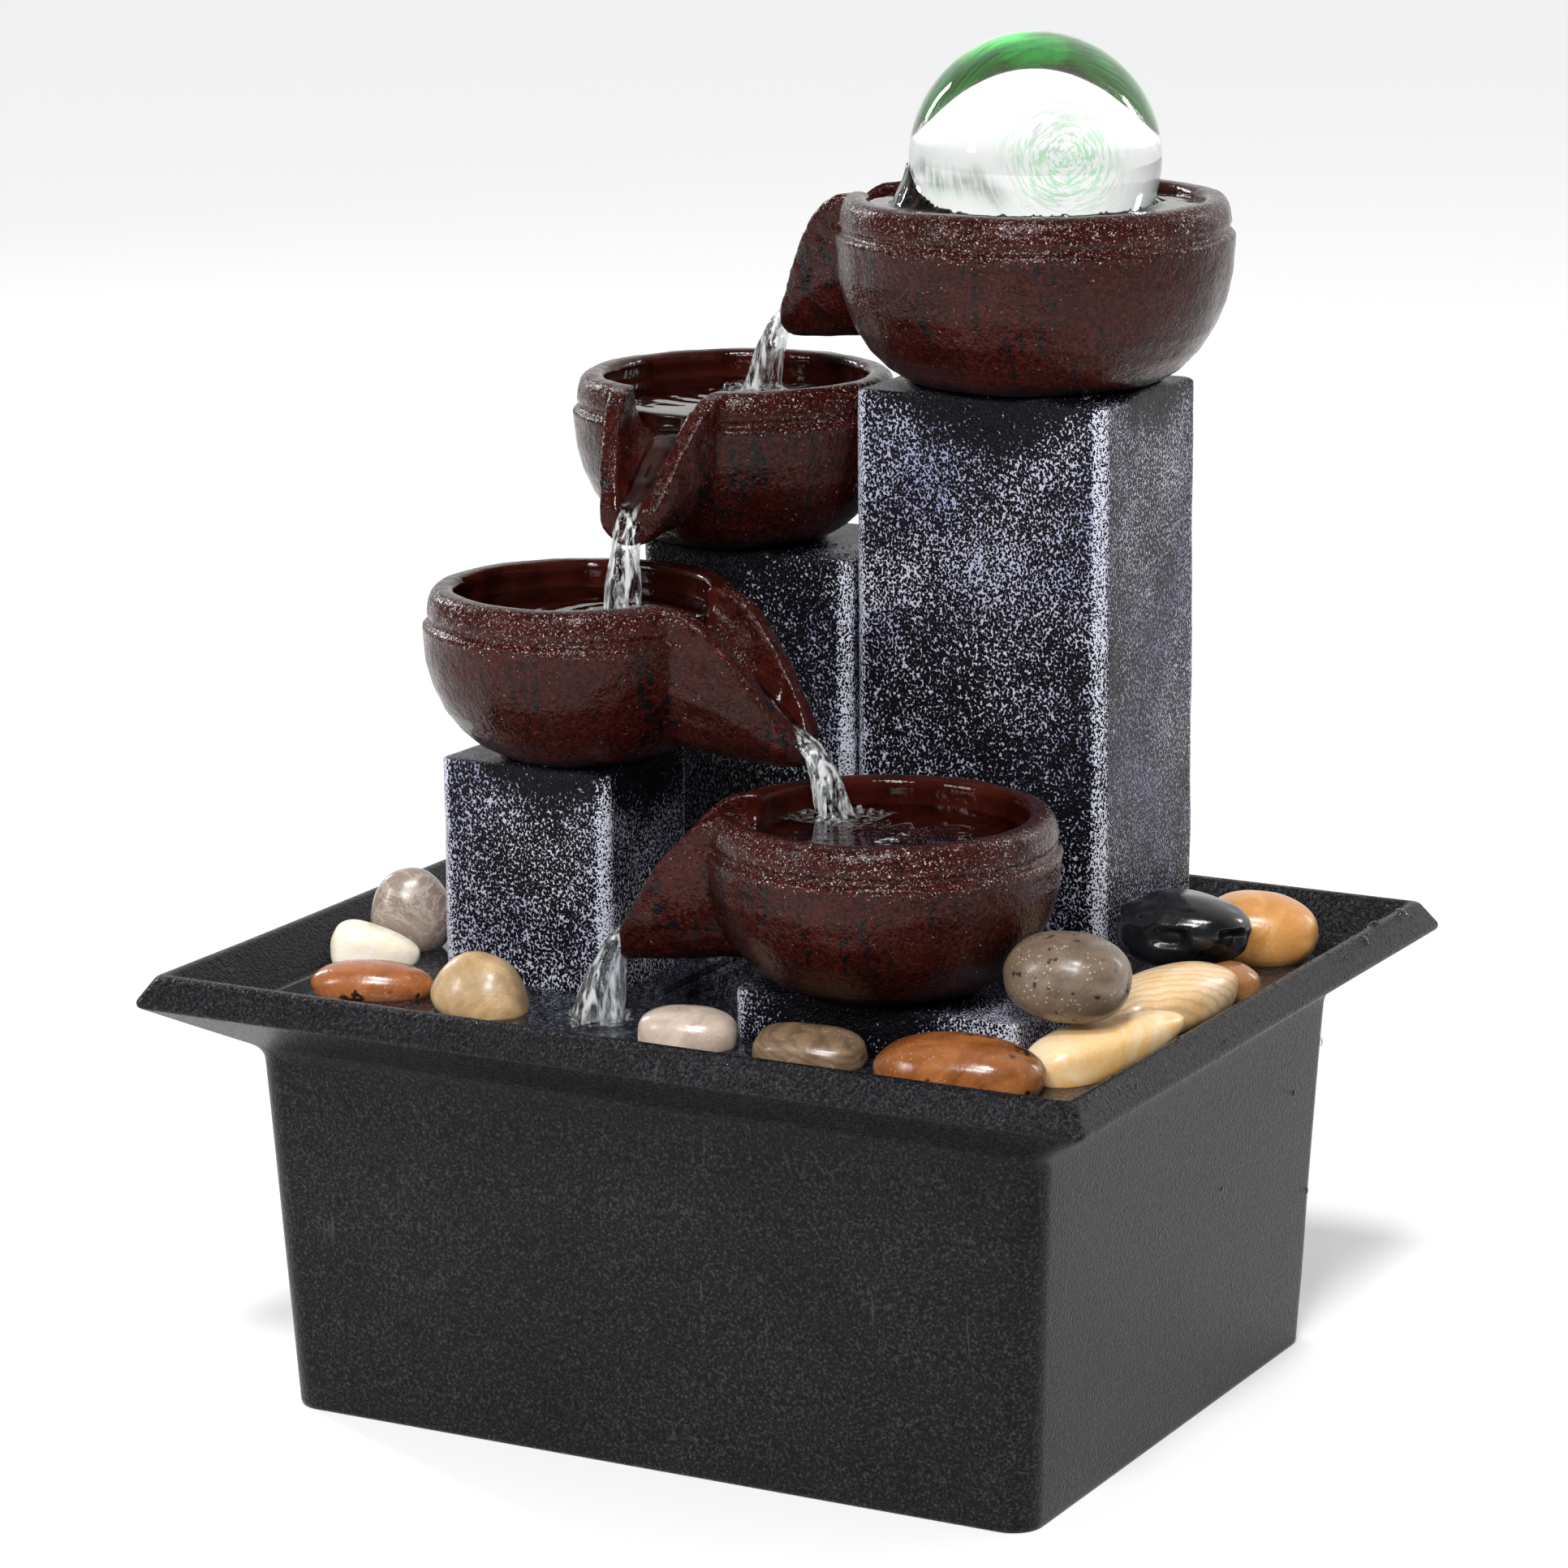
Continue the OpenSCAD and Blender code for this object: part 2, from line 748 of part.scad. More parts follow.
module lamp_plug() {
    color("#161618")
        translate([socket_x, TOP_AT[1], 0]) {
            translate([0, 0, motor_z1 + 2])
                cylinder(h = socket_top - motor_z1 - 1, r = plug_r);
            translate([0, 0, socket_top + gap])
                cylinder(h = plug_top - socket_top - gap, r1 = socket_r - 0.2, r2 = plug_r + 0.2);
        }
}

module lead_grommet() {
    color("#2d2d30")
        translate([lead_x, TOP_AT[1], cup_z - 3])
            difference() {
                cylinder(h = 3, r = 2.3);
                translate([0, 0, -1])
                    cylinder(h = 5, r = lead_r + 0.02);
            }
}

module riser_tube() {
    color("#cfd6da", 0.7)
        translate([TOP_AT[0], TOP_AT[1], riser_bottom])
            difference() {
                cylinder(h = cup_z + cup_floor - riser_bottom, r = riser_r);
                translate([0, 0, -1])
                    cylinder(h = cup_z + cup_floor - riser_bottom + 2, r = spigot_r + 0.1);
            }
}

// Water-worn stone: an ellipsoid with a few low waves over it
module pebble(p) {
    half = [p[4], p[5], p[6]] / 2;
    rows = 10;
    cols = 16;
    function wave(lat, lon) =
        1 + 0.05 * sin(2 * lon + 47 * p[9]) * cos(lat)
        + 0.035 * sin(3 * lon + 2 * lat + 91 * p[9]) * cos(lat);
    function skin(lat, lon) =
        let (k = wave(lat, lon))
        [half[0] * k * cos(lat) * cos(lon), half[1] * k * cos(lat) * sin(lon), half[2] * sin(lat)];
    color(p[10])
        translate([p[1], p[2], p[3]])
            rotate([0, p[8], p[7]])
                loft([
                    for (i = [0:rows])
                        let (lat = -84 + 168 * i / rows)
                        [for (j = [0:cols - 1]) skin(lat, 360 * j / cols)]
                ]);
}

basin();
tray();
tray_legs();
column_tall();
column_rear();
column_left();
plinth_front();
bowl_top();
bowl_rear();
bowl_left();
bowl_front();
ball_seat();
ball();
lamp_housing();
lamp_board();
lamp_lens();
lamp_lead();
lamp_plug();
lead_grommet();
riser_tube();
pump_housing();
pump_stator();
pump_cover();
pump_shaft();
impeller();
intake_strainer();
flow_dial();
suction_cups();
cord_gland();
for (p = PEBBLES)
    pebble(p);
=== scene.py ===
"""Looks of the tabletop water fountain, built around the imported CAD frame. Metres, +Z up."""

import math

import bmesh
import bpy
import numpy as np
from mathutils import Matrix, Vector
from mathutils.bvhtree import BVHTree


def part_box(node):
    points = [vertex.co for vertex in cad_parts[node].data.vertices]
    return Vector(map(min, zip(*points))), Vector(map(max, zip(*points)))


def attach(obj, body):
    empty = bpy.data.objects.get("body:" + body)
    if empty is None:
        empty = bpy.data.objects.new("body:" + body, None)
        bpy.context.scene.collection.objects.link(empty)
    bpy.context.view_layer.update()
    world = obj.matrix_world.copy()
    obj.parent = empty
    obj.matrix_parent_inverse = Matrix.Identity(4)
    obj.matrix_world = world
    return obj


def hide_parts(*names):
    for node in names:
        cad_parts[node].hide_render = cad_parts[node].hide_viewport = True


MM = 0.001
BOWLS = ("bowl_top", "bowl_rear", "bowl_left", "bowl_front")
COLUMNS = ("column_tall", "column_rear", "column_left", "plinth_front")

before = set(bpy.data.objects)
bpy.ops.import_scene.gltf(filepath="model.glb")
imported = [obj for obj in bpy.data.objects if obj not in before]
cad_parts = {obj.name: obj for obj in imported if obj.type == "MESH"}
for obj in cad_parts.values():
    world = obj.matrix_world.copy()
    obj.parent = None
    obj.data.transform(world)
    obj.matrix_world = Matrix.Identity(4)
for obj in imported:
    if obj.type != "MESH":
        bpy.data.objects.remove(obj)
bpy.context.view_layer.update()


# Numbers and points

def vec(x, y, z):
    return np.array([x, y, z], float)


def smoothstep(value, low, high):
    """0 below low, 1 above high, smooth in between."""
    t = np.clip((value - low) / (high - low), 0, 1)
    return t * t * (3 - 2 * t)


def bell(value, centre, width):
    return np.exp(-(((value - centre) / width) ** 2))


def lattice(cell, seed):
    """A fixed random number from -1 to 1 for each whole-number cell."""
    h = cell[:, 0] * 374761393 + cell[:, 1] * 668265263 + cell[:, 2] * 2147483647 + seed * 974711
    h = h & 0xFFFFFFFF
    h = ((h ^ (h >> 13)) * 1274126177) & 0xFFFFFFFF
    return ((h ^ (h >> 16)) & 0xFFFF) / 32767.5 - 1


def noise(points, size, seed=0, octaves=1):
    """Smooth noise from -1 to 1, with lumps of the given size."""
    total = np.zeros(len(points))
    gain = 1.0
    weight = 0.0
    for octave in range(octaves):
        p = np.asarray(points) / size * 2 ** octave + 17.3 * octave
        cell = np.floor(p).astype(np.int64)
        f = p - cell
        f = f ** 3 * (f * (f * 6 - 15) + 10)
        for corner in range(8):
            step = np.array([corner & 1, corner >> 1 & 1, corner >> 2 & 1])
            share = np.where(step, f, 1 - f).prod(axis=1)
            total += gain * share * lattice(cell + step, seed + octave)
        weight += gain
        gain *= 0.5
    return total / weight


def toward(azimuth, elevation):
    """Unit vector in degrees. Azimuth 0 is -Y, the front, and 90 is +X."""
    a, e = math.radians(azimuth), math.radians(elevation)
    return math.sin(a) * math.cos(e), -math.cos(a) * math.cos(e), math.sin(e)


# Meshes

def add(name, data):
    """Puts a mesh, light or camera in the scene."""
    obj = bpy.data.objects.new(name, data)
    bpy.context.scene.collection.objects.link(obj)
    return obj


def shade_smooth(mesh):
    mesh.polygons.foreach_set("use_smooth", [True] * len(mesh.polygons))


def make_object(name, verts, faces):
    mesh = bpy.data.meshes.new(name)
    mesh.from_pydata([tuple(v) for v in verts], [], [tuple(int(i) for i in f) for f in faces])
    mesh.validate()
    shade_smooth(mesh)
    mesh.update()
    return add(name, mesh)


def copy_of(node, name):
    """A free copy of a CAD node's mesh, for a piece that will replace it."""
    obj = add(name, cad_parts[node].data.copy())
    obj.data.materials.clear()
    return obj


def bake_modifiers(obj):
    graph = bpy.context.evaluated_depsgraph_get()
    graph.update()
    mesh = bpy.data.meshes.new_from_object(obj.evaluated_get(graph))
    old = obj.data
    obj.modifiers.clear()
    obj.data = mesh
    bpy.data.meshes.remove(old)
    shade_smooth(mesh)


def remesh(obj, voxel, rounds=4, factor=0.5):
    """Even quads of one size, then smoothing, which also rounds the edges."""
    grid = obj.modifiers.new("remesh", "REMESH")
    grid.mode = "VOXEL"
    grid.voxel_size = voxel
    grid.use_smooth_shade = True
    if rounds:
        soft = obj.modifiers.new("smooth", "SMOOTH")
        soft.factor = factor
        soft.iterations = rounds
    bake_modifiers(obj)


def read(rows, key):
    values = np.empty(len(rows) * 3, np.float32)
    rows.foreach_get(key, values)
    return values.reshape(-1, 3).astype(float)


def points_of(obj):
    return read(obj.data.vertices, "co")


def normals_of(obj):
    return read(obj.data.vertex_normals, "vector")


def set_points(obj, co):
    obj.data.vertices.foreach_set("co", np.asarray(co, np.float32).ravel())
    obj.data.update()


def paint(obj, name, values):
    """Stores one number, or three, for each vertex, for the material to read."""
    values = np.asarray(values, np.float32)
    if values.ndim == 1:
        obj.data.attributes.new(name, "FLOAT", "POINT").data.foreach_set("value", values)
    else:
        layer = obj.data.attributes.new(name, "FLOAT_VECTOR", "POINT")
        layer.data.foreach_set("vector", values.ravel())


def loft(name, rings, close_ends=True):
    """Skin over a stack of rings with the same number of points."""
    n = len(rings[0])
    verts = [p for ring in rings for p in ring]
    faces = []
    for i in range(len(rings) - 1):
        for j in range(n):
            k = (j + 1) % n
            faces.append((i * n + j, i * n + k, (i + 1) * n + k, (i + 1) * n + j))
    if close_ends:
        faces.append(tuple(range(n))[::-1])
        faces.append(tuple((len(rings) - 1) * n + j for j in range(n)))
    return make_object(name, verts, faces)


def turned(name, axis, profile_at, steps=128):
    """Closed solid round a vertical axis. profile_at(angle) gives its (radius, height) points."""
    columns = []
    for angle in np.linspace(0, 2 * math.pi, steps, endpoint=False):
        columns.append([
            (axis[0] + r * math.cos(angle), axis[1] + r * math.sin(angle), z)
            for r, z in profile_at(angle)
        ])
    count = len(columns[0])
    verts = [p for column in columns for p in column]
    faces = []
    for j in range(steps):
        k = (j + 1) % steps
        for i in range(count):
            m = (i + 1) % count
            faces.append((j * count + i, k * count + i, k * count + m, j * count + m))
    return make_object(name, verts, faces)


def spheres(name, subdivisions, places):
    """One smooth mesh of icospheres. Each place is a (radius, matrix)."""
    shape = bmesh.new()
    for radius, matrix in places:
        bmesh.ops.create_icosphere(shape, subdivisions=subdivisions, radius=radius, matrix=matrix)
    mesh = bpy.data.meshes.new(name)
    shape.to_mesh(mesh)
    shape.free()
    shade_smooth(mesh)
    return add(name, mesh)


def join(name, objects):
    verts = []
    faces = []
    for obj in objects:
        start = len(verts)
        matrix = np.array(obj.matrix_world)
        co = points_of(obj) @ matrix[:3, :3].T + matrix[:3, 3]
        verts.extend(co.tolist())
        faces.extend([tuple(start + i for i in p.vertices) for p in obj.data.polygons])
        mesh = obj.data
        bpy.data.objects.remove(obj)
        bpy.data.meshes.remove(mesh)
    return make_object(name, verts, faces)


def tree_of(obj):
    return BVHTree.FromPolygons(
        [tuple(p) for p in points_of(obj)], [tuple(p.vertices) for p in obj.data.polygons]
    )


# Materials

SOCKETS = {
    "color": "Base Color", "metallic": "Metallic", "roughness": "Roughness", "ior": "IOR",
    "normal": "Normal", "specular": "Specular IOR Level", "transmission": "Transmission Weight",
    "coat": "Coat Weight", "coat_roughness": "Coat Roughness", "glow": "Emission Color",
    "glow_strength": "Emission Strength",
}


class Paint:
    """One node material. Each method adds a node and returns its output socket."""

    def __init__(self, name, **values):
        self.material = bpy.data.materials.new(name)
        self.material.use_nodes = True
        self.tree = self.material.node_tree
        self.shader = self.tree.nodes["Principled BSDF"]
        self.coords = self.tree.nodes.new("ShaderNodeTexCoord").outputs["Object"]
        self.set(**values)

    def set(self, **values):
        for key, value in values.items():
            self.plug(self.shader.inputs[SOCKETS[key]], value)

    def plug(self, socket, value):
        if isinstance(value, bpy.types.NodeSocket):
            self.tree.links.new(value, socket)
        elif isinstance(value, tuple) and len(value) == 3 and socket.type == "RGBA":
            socket.default_value = (*value, 1)
        else:
            socket.default_value = value

    def node(self, kind, inputs, **settings):
        made = self.tree.nodes.new("ShaderNode" + kind)
        for key, value in settings.items():
            setattr(made, key, value)
        for key, value in inputs.items():
            self.plug(made.inputs[key], value)
        return made

    def attribute(self, name, output="Fac"):
        return self.node("Attribute", {}, attribute_name=name).outputs[output]

    def stretch(self, x, y, z, turn=(0, 0, 0), vector=None):
        inputs = {"Vector": vector or self.coords, "Scale": (x, y, z), "Rotation": turn}
        return self.node("Mapping", inputs).outputs["Vector"]

    def noise(self, scale, detail=2.0, rough=0.5, warp=0.0, vector=None):
        inputs = {
            "Vector": vector or self.coords, "Scale": scale, "Detail": detail,
            "Roughness": rough, "Distortion": warp,
        }
        return self.node("TexNoise", inputs).outputs["Fac"]

    def cells(self, scale, vector=None):
        inputs = {"Vector": vector or self.coords, "Scale": scale}
        return self.node("TexVoronoi", inputs).outputs["Distance"]

    def waves(self, scale, warp=4.0, detail=2.0, vector=None):
        inputs = {
            "Vector": vector or self.coords, "Scale": scale, "Distortion": warp, "Detail": detail,
        }
        return self.node("TexWave", inputs, bands_direction="Z").outputs["Fac"]

    def fade(self, value, low, high, start=0.0, end=1.0):
        """start where value is low, end where it is high."""
        inputs = {
            "Value": value, "From Min": low, "From Max": high, "To Min": start, "To Max": end,
        }
        return self.node("MapRange", inputs, clamp=True).outputs["Result"]

    def calc(self, operation, a, b=0.0):
        return self.node("Math", {0: a, 1: b}, operation=operation).outputs["Value"]

    def plus(self, a, b):
        return self.calc("ADD", a, b)

    def minus(self, a, b):
        return self.calc("SUBTRACT", a, b)

    def times(self, a, b):
        return self.calc("MULTIPLY", a, b)

    def blend(self, share, a, b):
        made = self.node("Mix", {}, data_type="RGBA")
        for key, value in (("Factor_Float", share), ("A_Color", a), ("B_Color", b)):
            socket = next(s for s in made.inputs if s.identifier == key)
            self.plug(socket, value)
        return next(s for s in made.outputs if s.identifier == "Result_Color")

    def bump(self, height, strength, depth, under=None):
        inputs = {"Height": height, "Strength": strength, "Distance": depth}
        if under is not None:
            inputs["Normal"] = under
        return self.node("Bump", inputs).outputs["Normal"]


def wear(obj, paint_job):
    obj.data.materials.clear()
    obj.data.materials.append(paint_job.material)


def moulded(name, color, roughness=0.45, grain=900, depth=0.06, **values):
    """Moulded plastic or rubber: fine grain, faint clouding, a little dust."""
    p = Paint(name, **values)
    cloud = p.noise(60, 3)
    lighter = tuple(min(1, c * 1.35 + 0.01) for c in color)
    p.set(
        color=p.blend(p.fade(cloud, 0.35, 0.75), color, lighter),
        roughness=p.fade(cloud, 0.3, 0.7, roughness - 0.07, roughness + 0.09),
        normal=p.bump(p.noise(grain, 3), 0.35, depth * MM),
    )
    return p


def basin_paint():
    """Black polypropylene with a fine leather grain; the rim is glossier and coarser. The grain's
    pale tops and small pale specks are painted highlights.
    """
    p = Paint("basin_plastic", specular=0.11)
    rim = p.attribute("rim")
    fine = p.noise(1600, 2, 0.55, 0.4)
    coarse = p.noise(1050, 2, 0.5, 0.8)
    cloud = p.noise(28, 3)
    # painted highlight: small pale specks in rare patches stand in for glints
    painted_glint = p.fade(p.cells(1300), 0.0, 0.14, 1.0, 0.0)
    rare = p.fade(p.noise(240, 1), 0.56, 0.64)
    lines = p.fade(p.noise(620, 1, 0.5, 0.0, p.stretch(1, 1, 0.05)), 0.735, 0.755)
    scratch = p.times(lines, p.fade(p.noise(16, 2), 0.55, 0.62))
    grain = p.plus(fine, p.times(p.minus(cloud, 0.5), 0.12))
    base = p.blend(p.fade(grain, 0.4, 0.5), (0.003, 0.003, 0.0035), (0.008, 0.0076, 0.009))
    # grain tone, with its pale tops a painted highlight standing in for glints on the bumps
    base = p.blend(p.fade(grain, 0.54, 0.68), base, (0.034, 0.033, 0.037))
    # the mark colour covers real scratches and the painted glint specks
    mark = p.calc("MAXIMUM", scratch, p.times(painted_glint, rare))
    p.set(
        color=p.blend(mark, base, (0.035, 0.035, 0.037)),
        roughness=p.minus(p.fade(fine, 0.35, 0.7, 0.2, 0.32), p.times(rim, 0.06)),
        normal=p.bump(coarse, rim, 0.34 * MM, p.bump(fine, 1.0, 0.32 * MM)),
    )
    return p


def sponge_paint(name, tint, pale):
    """Near-black paint under fine pale worms, thicker along the edges; painted shade turns it black
    near the bowls.
    """
    p = Paint(name, specular=0.1)
    edge = p.attribute("edge")
    shade = p.attribute("shade")
    tall = p.stretch(1, 1.35, 0.8)
    push = p.node("TexNoise", {"Vector": tall, "Scale": 1800.0, "Detail": 1.0}).outputs["Color"]
    half, reach = (0.5,) * 3, (0.45 * MM,) * 3
    push = p.node("VectorMath", {0: push, 1: half}, operation="SUBTRACT").outputs["Vector"]
    moved = p.node("VectorMath", {0: push, 1: reach, 2: tall}, operation="MULTIPLY_ADD")
    worms = p.cells(2250.0, moved.outputs["Vector"])
    drift = p.noise(60, 3, 0.6)
    level = p.plus(worms, p.times(p.minus(drift, 0.5), 0.4))
    level = p.plus(level, p.times(edge, 0.25))
    # painted shade: the worms thin out to black where the shade attribute is high, near the bowls
    level = p.minus(level, p.times(shade, 0.36))
    cover = p.fade(level, 0.62, 0.685)
    hue = p.blend(p.fade(p.noise(34, 2), 0.35, 0.65), tint, pale)
    hue = p.blend(edge, hue, (0.6, 0.61, 0.7))
    p.set(
        color=p.blend(cover, (0.004, 0.004, 0.006), hue),
        roughness=p.fade(cover, 0, 1, 0.24, 0.4),
        normal=p.bump(worms, 1.0, 0.2 * MM, p.bump(p.noise(180, 3), 0.5, 0.6 * MM)),
    )
    return p


def bowl_paint():
    """Oxblood enamel on a hammered casting, with black runs below the ridge and wet insides.
    Painted shade darkens the hollows of the hammering; painted highlights lighten its raised points
    and fleck the rim.
    """
    p = Paint("oxblood_glaze", specular=0.18)
    polar = p.attribute("polar", "Vector")
    wet = p.attribute("wet")
    foot = p.attribute("foot")
    band = p.attribute("band")
    seam = p.attribute("seam")
    gloss = p.attribute("gloss")
    hammer = p.noise(1150, 2, 0.45, 0.8)
    cloud = p.noise(70, 4, 0.6)
    runs = p.noise(520, 1, 0.5, 0.0, p.stretch(1, 0.05, 1, vector=polar))
    dots = p.noise(900, 2, 0.6, 0.3, p.stretch(1, 0.7, 1, vector=polar))
    mark = p.times(p.fade(runs, 0.58, 0.61), p.fade(dots, 0.5, 0.54))
    mark = p.times(mark, band)
    mark = p.calc("MAXIMUM", mark, p.times(seam, p.fade(dots, 0.42, 0.5)))
    red = p.blend(p.fade(cloud, 0.3, 0.72), (0.021, 0.0026, 0.0015), (0.044, 0.006, 0.004))
    dry_side = p.fade(wet, 0, 1, 1, 0)
    # painted shade: the hollows of the hammering are darkened
    painted_hollow_shade = p.times(p.fade(hammer, 0.5, 0.4, 0, 0.7), dry_side)
    red = p.blend(painted_hollow_shade, red, (0.008, 0.002, 0.002))
    # painted highlight: the raised points of the hammering are lightened
    painted_raised_highlight = p.times(p.fade(hammer, 0.55, 0.66, 0, 0.15), dry_side)
    red = p.blend(painted_raised_highlight, red, (0.1, 0.034, 0.028))
    # painted highlights: pale flecks, thicker on the glossy rim
    painted_highlight_flecks = p.plus(p.noise(2300, 1, 0.5, 1.2), p.times(gloss, 0.1))
    painted_highlight_flecks = p.times(p.fade(painted_highlight_flecks, 0.765, 0.795), dry_side)
    red = p.blend(p.times(painted_highlight_flecks, 0.65), red, (0.8, 0.7, 0.67))
    pale_inside = p.fade(p.noise(140, 3), 0.35, 0.7)
    inside = p.blend(pale_inside, (0.015, 0.0024, 0.0017), (0.045, 0.0062, 0.0034))
    red = p.blend(wet, red, inside)
    red = p.blend(mark, red, (0.005, 0.004, 0.005))
    dry = p.minus(p.fade(cloud, 0.3, 0.7, 0.15, 0.21), p.times(gloss, 0.03))
    p.set(
        color=p.blend(foot, red, (0.006, 0.005, 0.006)),
        roughness=p.minus(dry, p.times(wet, 0.1)),
        normal=p.bump(
            hammer, p.fade(wet, 0, 1, 1.0, 0.2), 0.22 * MM, p.bump(p.noise(260, 2), 0.5, 0.6 * MM)
        ),
    )
    return p


def water_paint(name="water", tint=(0.95, 0.98, 0.99), ripple=0.1):
    """Clear water. Falling water is rippled along its fall, with white air in its streaks."""
    p = Paint(name, ior=1.333)
    fall = p.attribute("fall")
    swirl = p.noise(150, 2, 0.5, 0.4)
    streaks = p.noise(650, 2, 0.55, 0.3, p.stretch(1, 1, 0.22))
    white = p.times(p.fade(streaks, 0.46, 0.62, 0, 0.75), fall)
    p.set(
        color=p.blend(white, tint, (1.0, 1.0, 1.0)),
        transmission=p.fade(white, 0, 1, 1, 0.25),
        roughness=p.fade(white, 0, 0.5, 0.015, 0.2),
        normal=p.bump(streaks, p.times(fall, 0.9), 0.5 * MM, p.bump(swirl, ripple, 0.5 * MM)),
    )
    return p


def stone_paint(
    name, base, second, vein=None, stain=None, bands=0.0, spots=0.0, flecks=0.5, gloss=0.25,
    turn=0.0,
):
    """Tumbled stone: clouds of two colours, stains, veins or bands, dark spots, pale flecks."""
    p = Paint(name, specular=0.5, coat=0.2, coat_roughness=0.16)
    cloud = p.noise(110, 4, 0.6, 0.8)
    color = p.blend(p.fade(cloud, 0.36, 0.66), base, second)
    if stain:
        patch = p.fade(p.noise(75, 3, 0.55, 0.6), 0.42, 0.62, 0, 0.85)
        color = p.blend(patch, color, stain)
    if bands:
        lines = p.waves(bands, 5.0, 3, p.stretch(1, 1, 1, (turn, 0.35, 0)))
        color = p.blend(p.fade(lines, 0.45, 0.9, 0, 0.4), color, vein)
    elif vein:
        lines = p.noise(90, 5, 0.7, 2.0)
        near = p.fade(p.calc("ABSOLUTE", p.minus(lines, 0.5)), 0.0, 0.045, 0.75, 0)
        color = p.blend(near, color, vein)
    if spots:
        dark = p.fade(p.noise(spots, 3, 0.65), 0.61, 0.66)
        color = p.blend(dark, color, tuple(c * 0.08 for c in base))
    grain = p.noise(1400, 3, 0.6)
    color = p.blend(p.fade(grain, 0.55, 0.8, 0, 0.3), color, tuple(c * 0.45 for c in base))
    chips = p.fade(p.cells(950), 0.0, 0.26, 1, 0)
    chips = p.times(chips, p.fade(p.noise(150, 2), 0.44, 0.52))
    color = p.blend(p.times(chips, flecks), color, tuple(0.45 + c * 0.55 for c in second))
    p.set(
        color=color,
        roughness=p.fade(p.noise(200, 3), 0.3, 0.7, gloss - 0.06, gloss + 0.12),
        normal=p.bump(grain, 0.3, 0.12 * MM, p.bump(cloud, 0.3, 0.5 * MM)),
    )
    return p


# Camera, light and floor

CAMERA_AT = (0.52861, -0.98453, 0.38529)
CAMERA_AZIMUTH = 28.41
CAMERA_ELEVATION = 13.02
CAMERA_ROLL = -0.49
CAMERA_LENS = 128.05
WORLD_RAMP = (-0.35, 0.75, 0.1, 1.0)


def make_camera():
    back = Vector(toward(CAMERA_AZIMUTH, CAMERA_ELEVATION))
    right = Vector(toward(CAMERA_AZIMUTH + 90, 0))
    up = back.cross(right)
    r = math.radians(CAMERA_ROLL)
    turned_right = math.cos(r) * right + math.sin(r) * up
    turned_up = math.cos(r) * up - math.sin(r) * right
    rotation = Matrix((turned_right, turned_up, back)).transposed().to_4x4()
    data = bpy.data.cameras.new("camera")
    data.sensor_width = 36
    data.lens = CAMERA_LENS
    data.clip_start = 0.05
    data.clip_end = 60
    camera = add("camera", data)
    camera.matrix_world = Matrix.Translation(CAMERA_AT) @ rotation
    bpy.context.scene.camera = camera


def area_light(name, place, target, size, power):
    data = bpy.data.lights.new(name, "AREA")
    data.shape = "RECTANGLE"
    data.size, data.size_y = size
    data.energy = power
    light = add(name, data)
    light.location = place
    light.rotation_euler = (Vector(target) - Vector(place)).to_track_quat("-Z", "Y").to_euler()


def make_world():
    """Soft white room: dim in front of the object, bright behind it."""
    world = bpy.data.worlds.new("studio")
    bpy.context.scene.world = world
    world.use_nodes = True
    tree = world.node_tree
    split = tree.nodes.new("ShaderNodeSeparateXYZ")
    share = tree.nodes.new("ShaderNodeMapRange")
    way = tree.nodes.new("ShaderNodeTexCoord").outputs["Generated"]
    tree.links.new(way, split.inputs["Vector"])
    tree.links.new(split.outputs["Y"], share.inputs["Value"])
    for socket, value in zip(("From Min", "From Max", "To Min", "To Max"), WORLD_RAMP):
        share.inputs[socket].default_value = value
    back = tree.nodes["Background"]
    back.inputs["Color"].default_value = (1, 1, 1, 1)
    tree.links.new(share.outputs["Result"], back.inputs["Strength"])


def sun_light(name, azimuth, elevation, power, spread):
    data = bpy.data.lights.new(name, "SUN")
    data.energy = power
    data.angle = math.radians(spread)
    source = Vector(toward(azimuth, elevation))
    add(name, data).rotation_euler = (-source).to_track_quat("-Z", "Y").to_euler()


def make_studio():
    bpy.context.scene.view_settings.view_transform = "Standard"
    make_world()
    middle = (0, 0, 0.13)
    sun_light("key", 22, 54, 1.9, 11)
    area_light("softbox_right", (0.8, 1.14, 0.7), middle, (0.12, 0.5), 3.5)
    area_light("softbox_left", (-0.8, -1.14, 0.7), middle, (0.2, 0.5), 6.0)
    area_light("softbox_front", (0.36, -1.28, 1.02), middle, (0.4, 0.25), 13.0)
    area_light("rim_light_left", (-1.32, 0.48, 0.75), middle, (0.12, 0.5), 6.0)
    side = 9.0
    floor = make_object(
        "floor",
        [(-side, -side, 0), (side, -side, 0), (side, side, 0), (-side, side, 0)],
        [(0, 1, 2, 3)],
    )
    pale = Paint("floor_paint", color=(0.93, 0.93, 0.93), roughness=0.8, specular=0.1)
    wear(floor, pale)


# Basin

BEVEL_WIDTH = 3.2 * MM
CREST_WIDTH = 2.0 * MM
RIM_OVERHANG = 34 * MM  # both sides together
RIM_DROP = 5.2 * MM
BASIN_WALL = 2.5 * MM
BASIN_FLOOR = 3 * MM


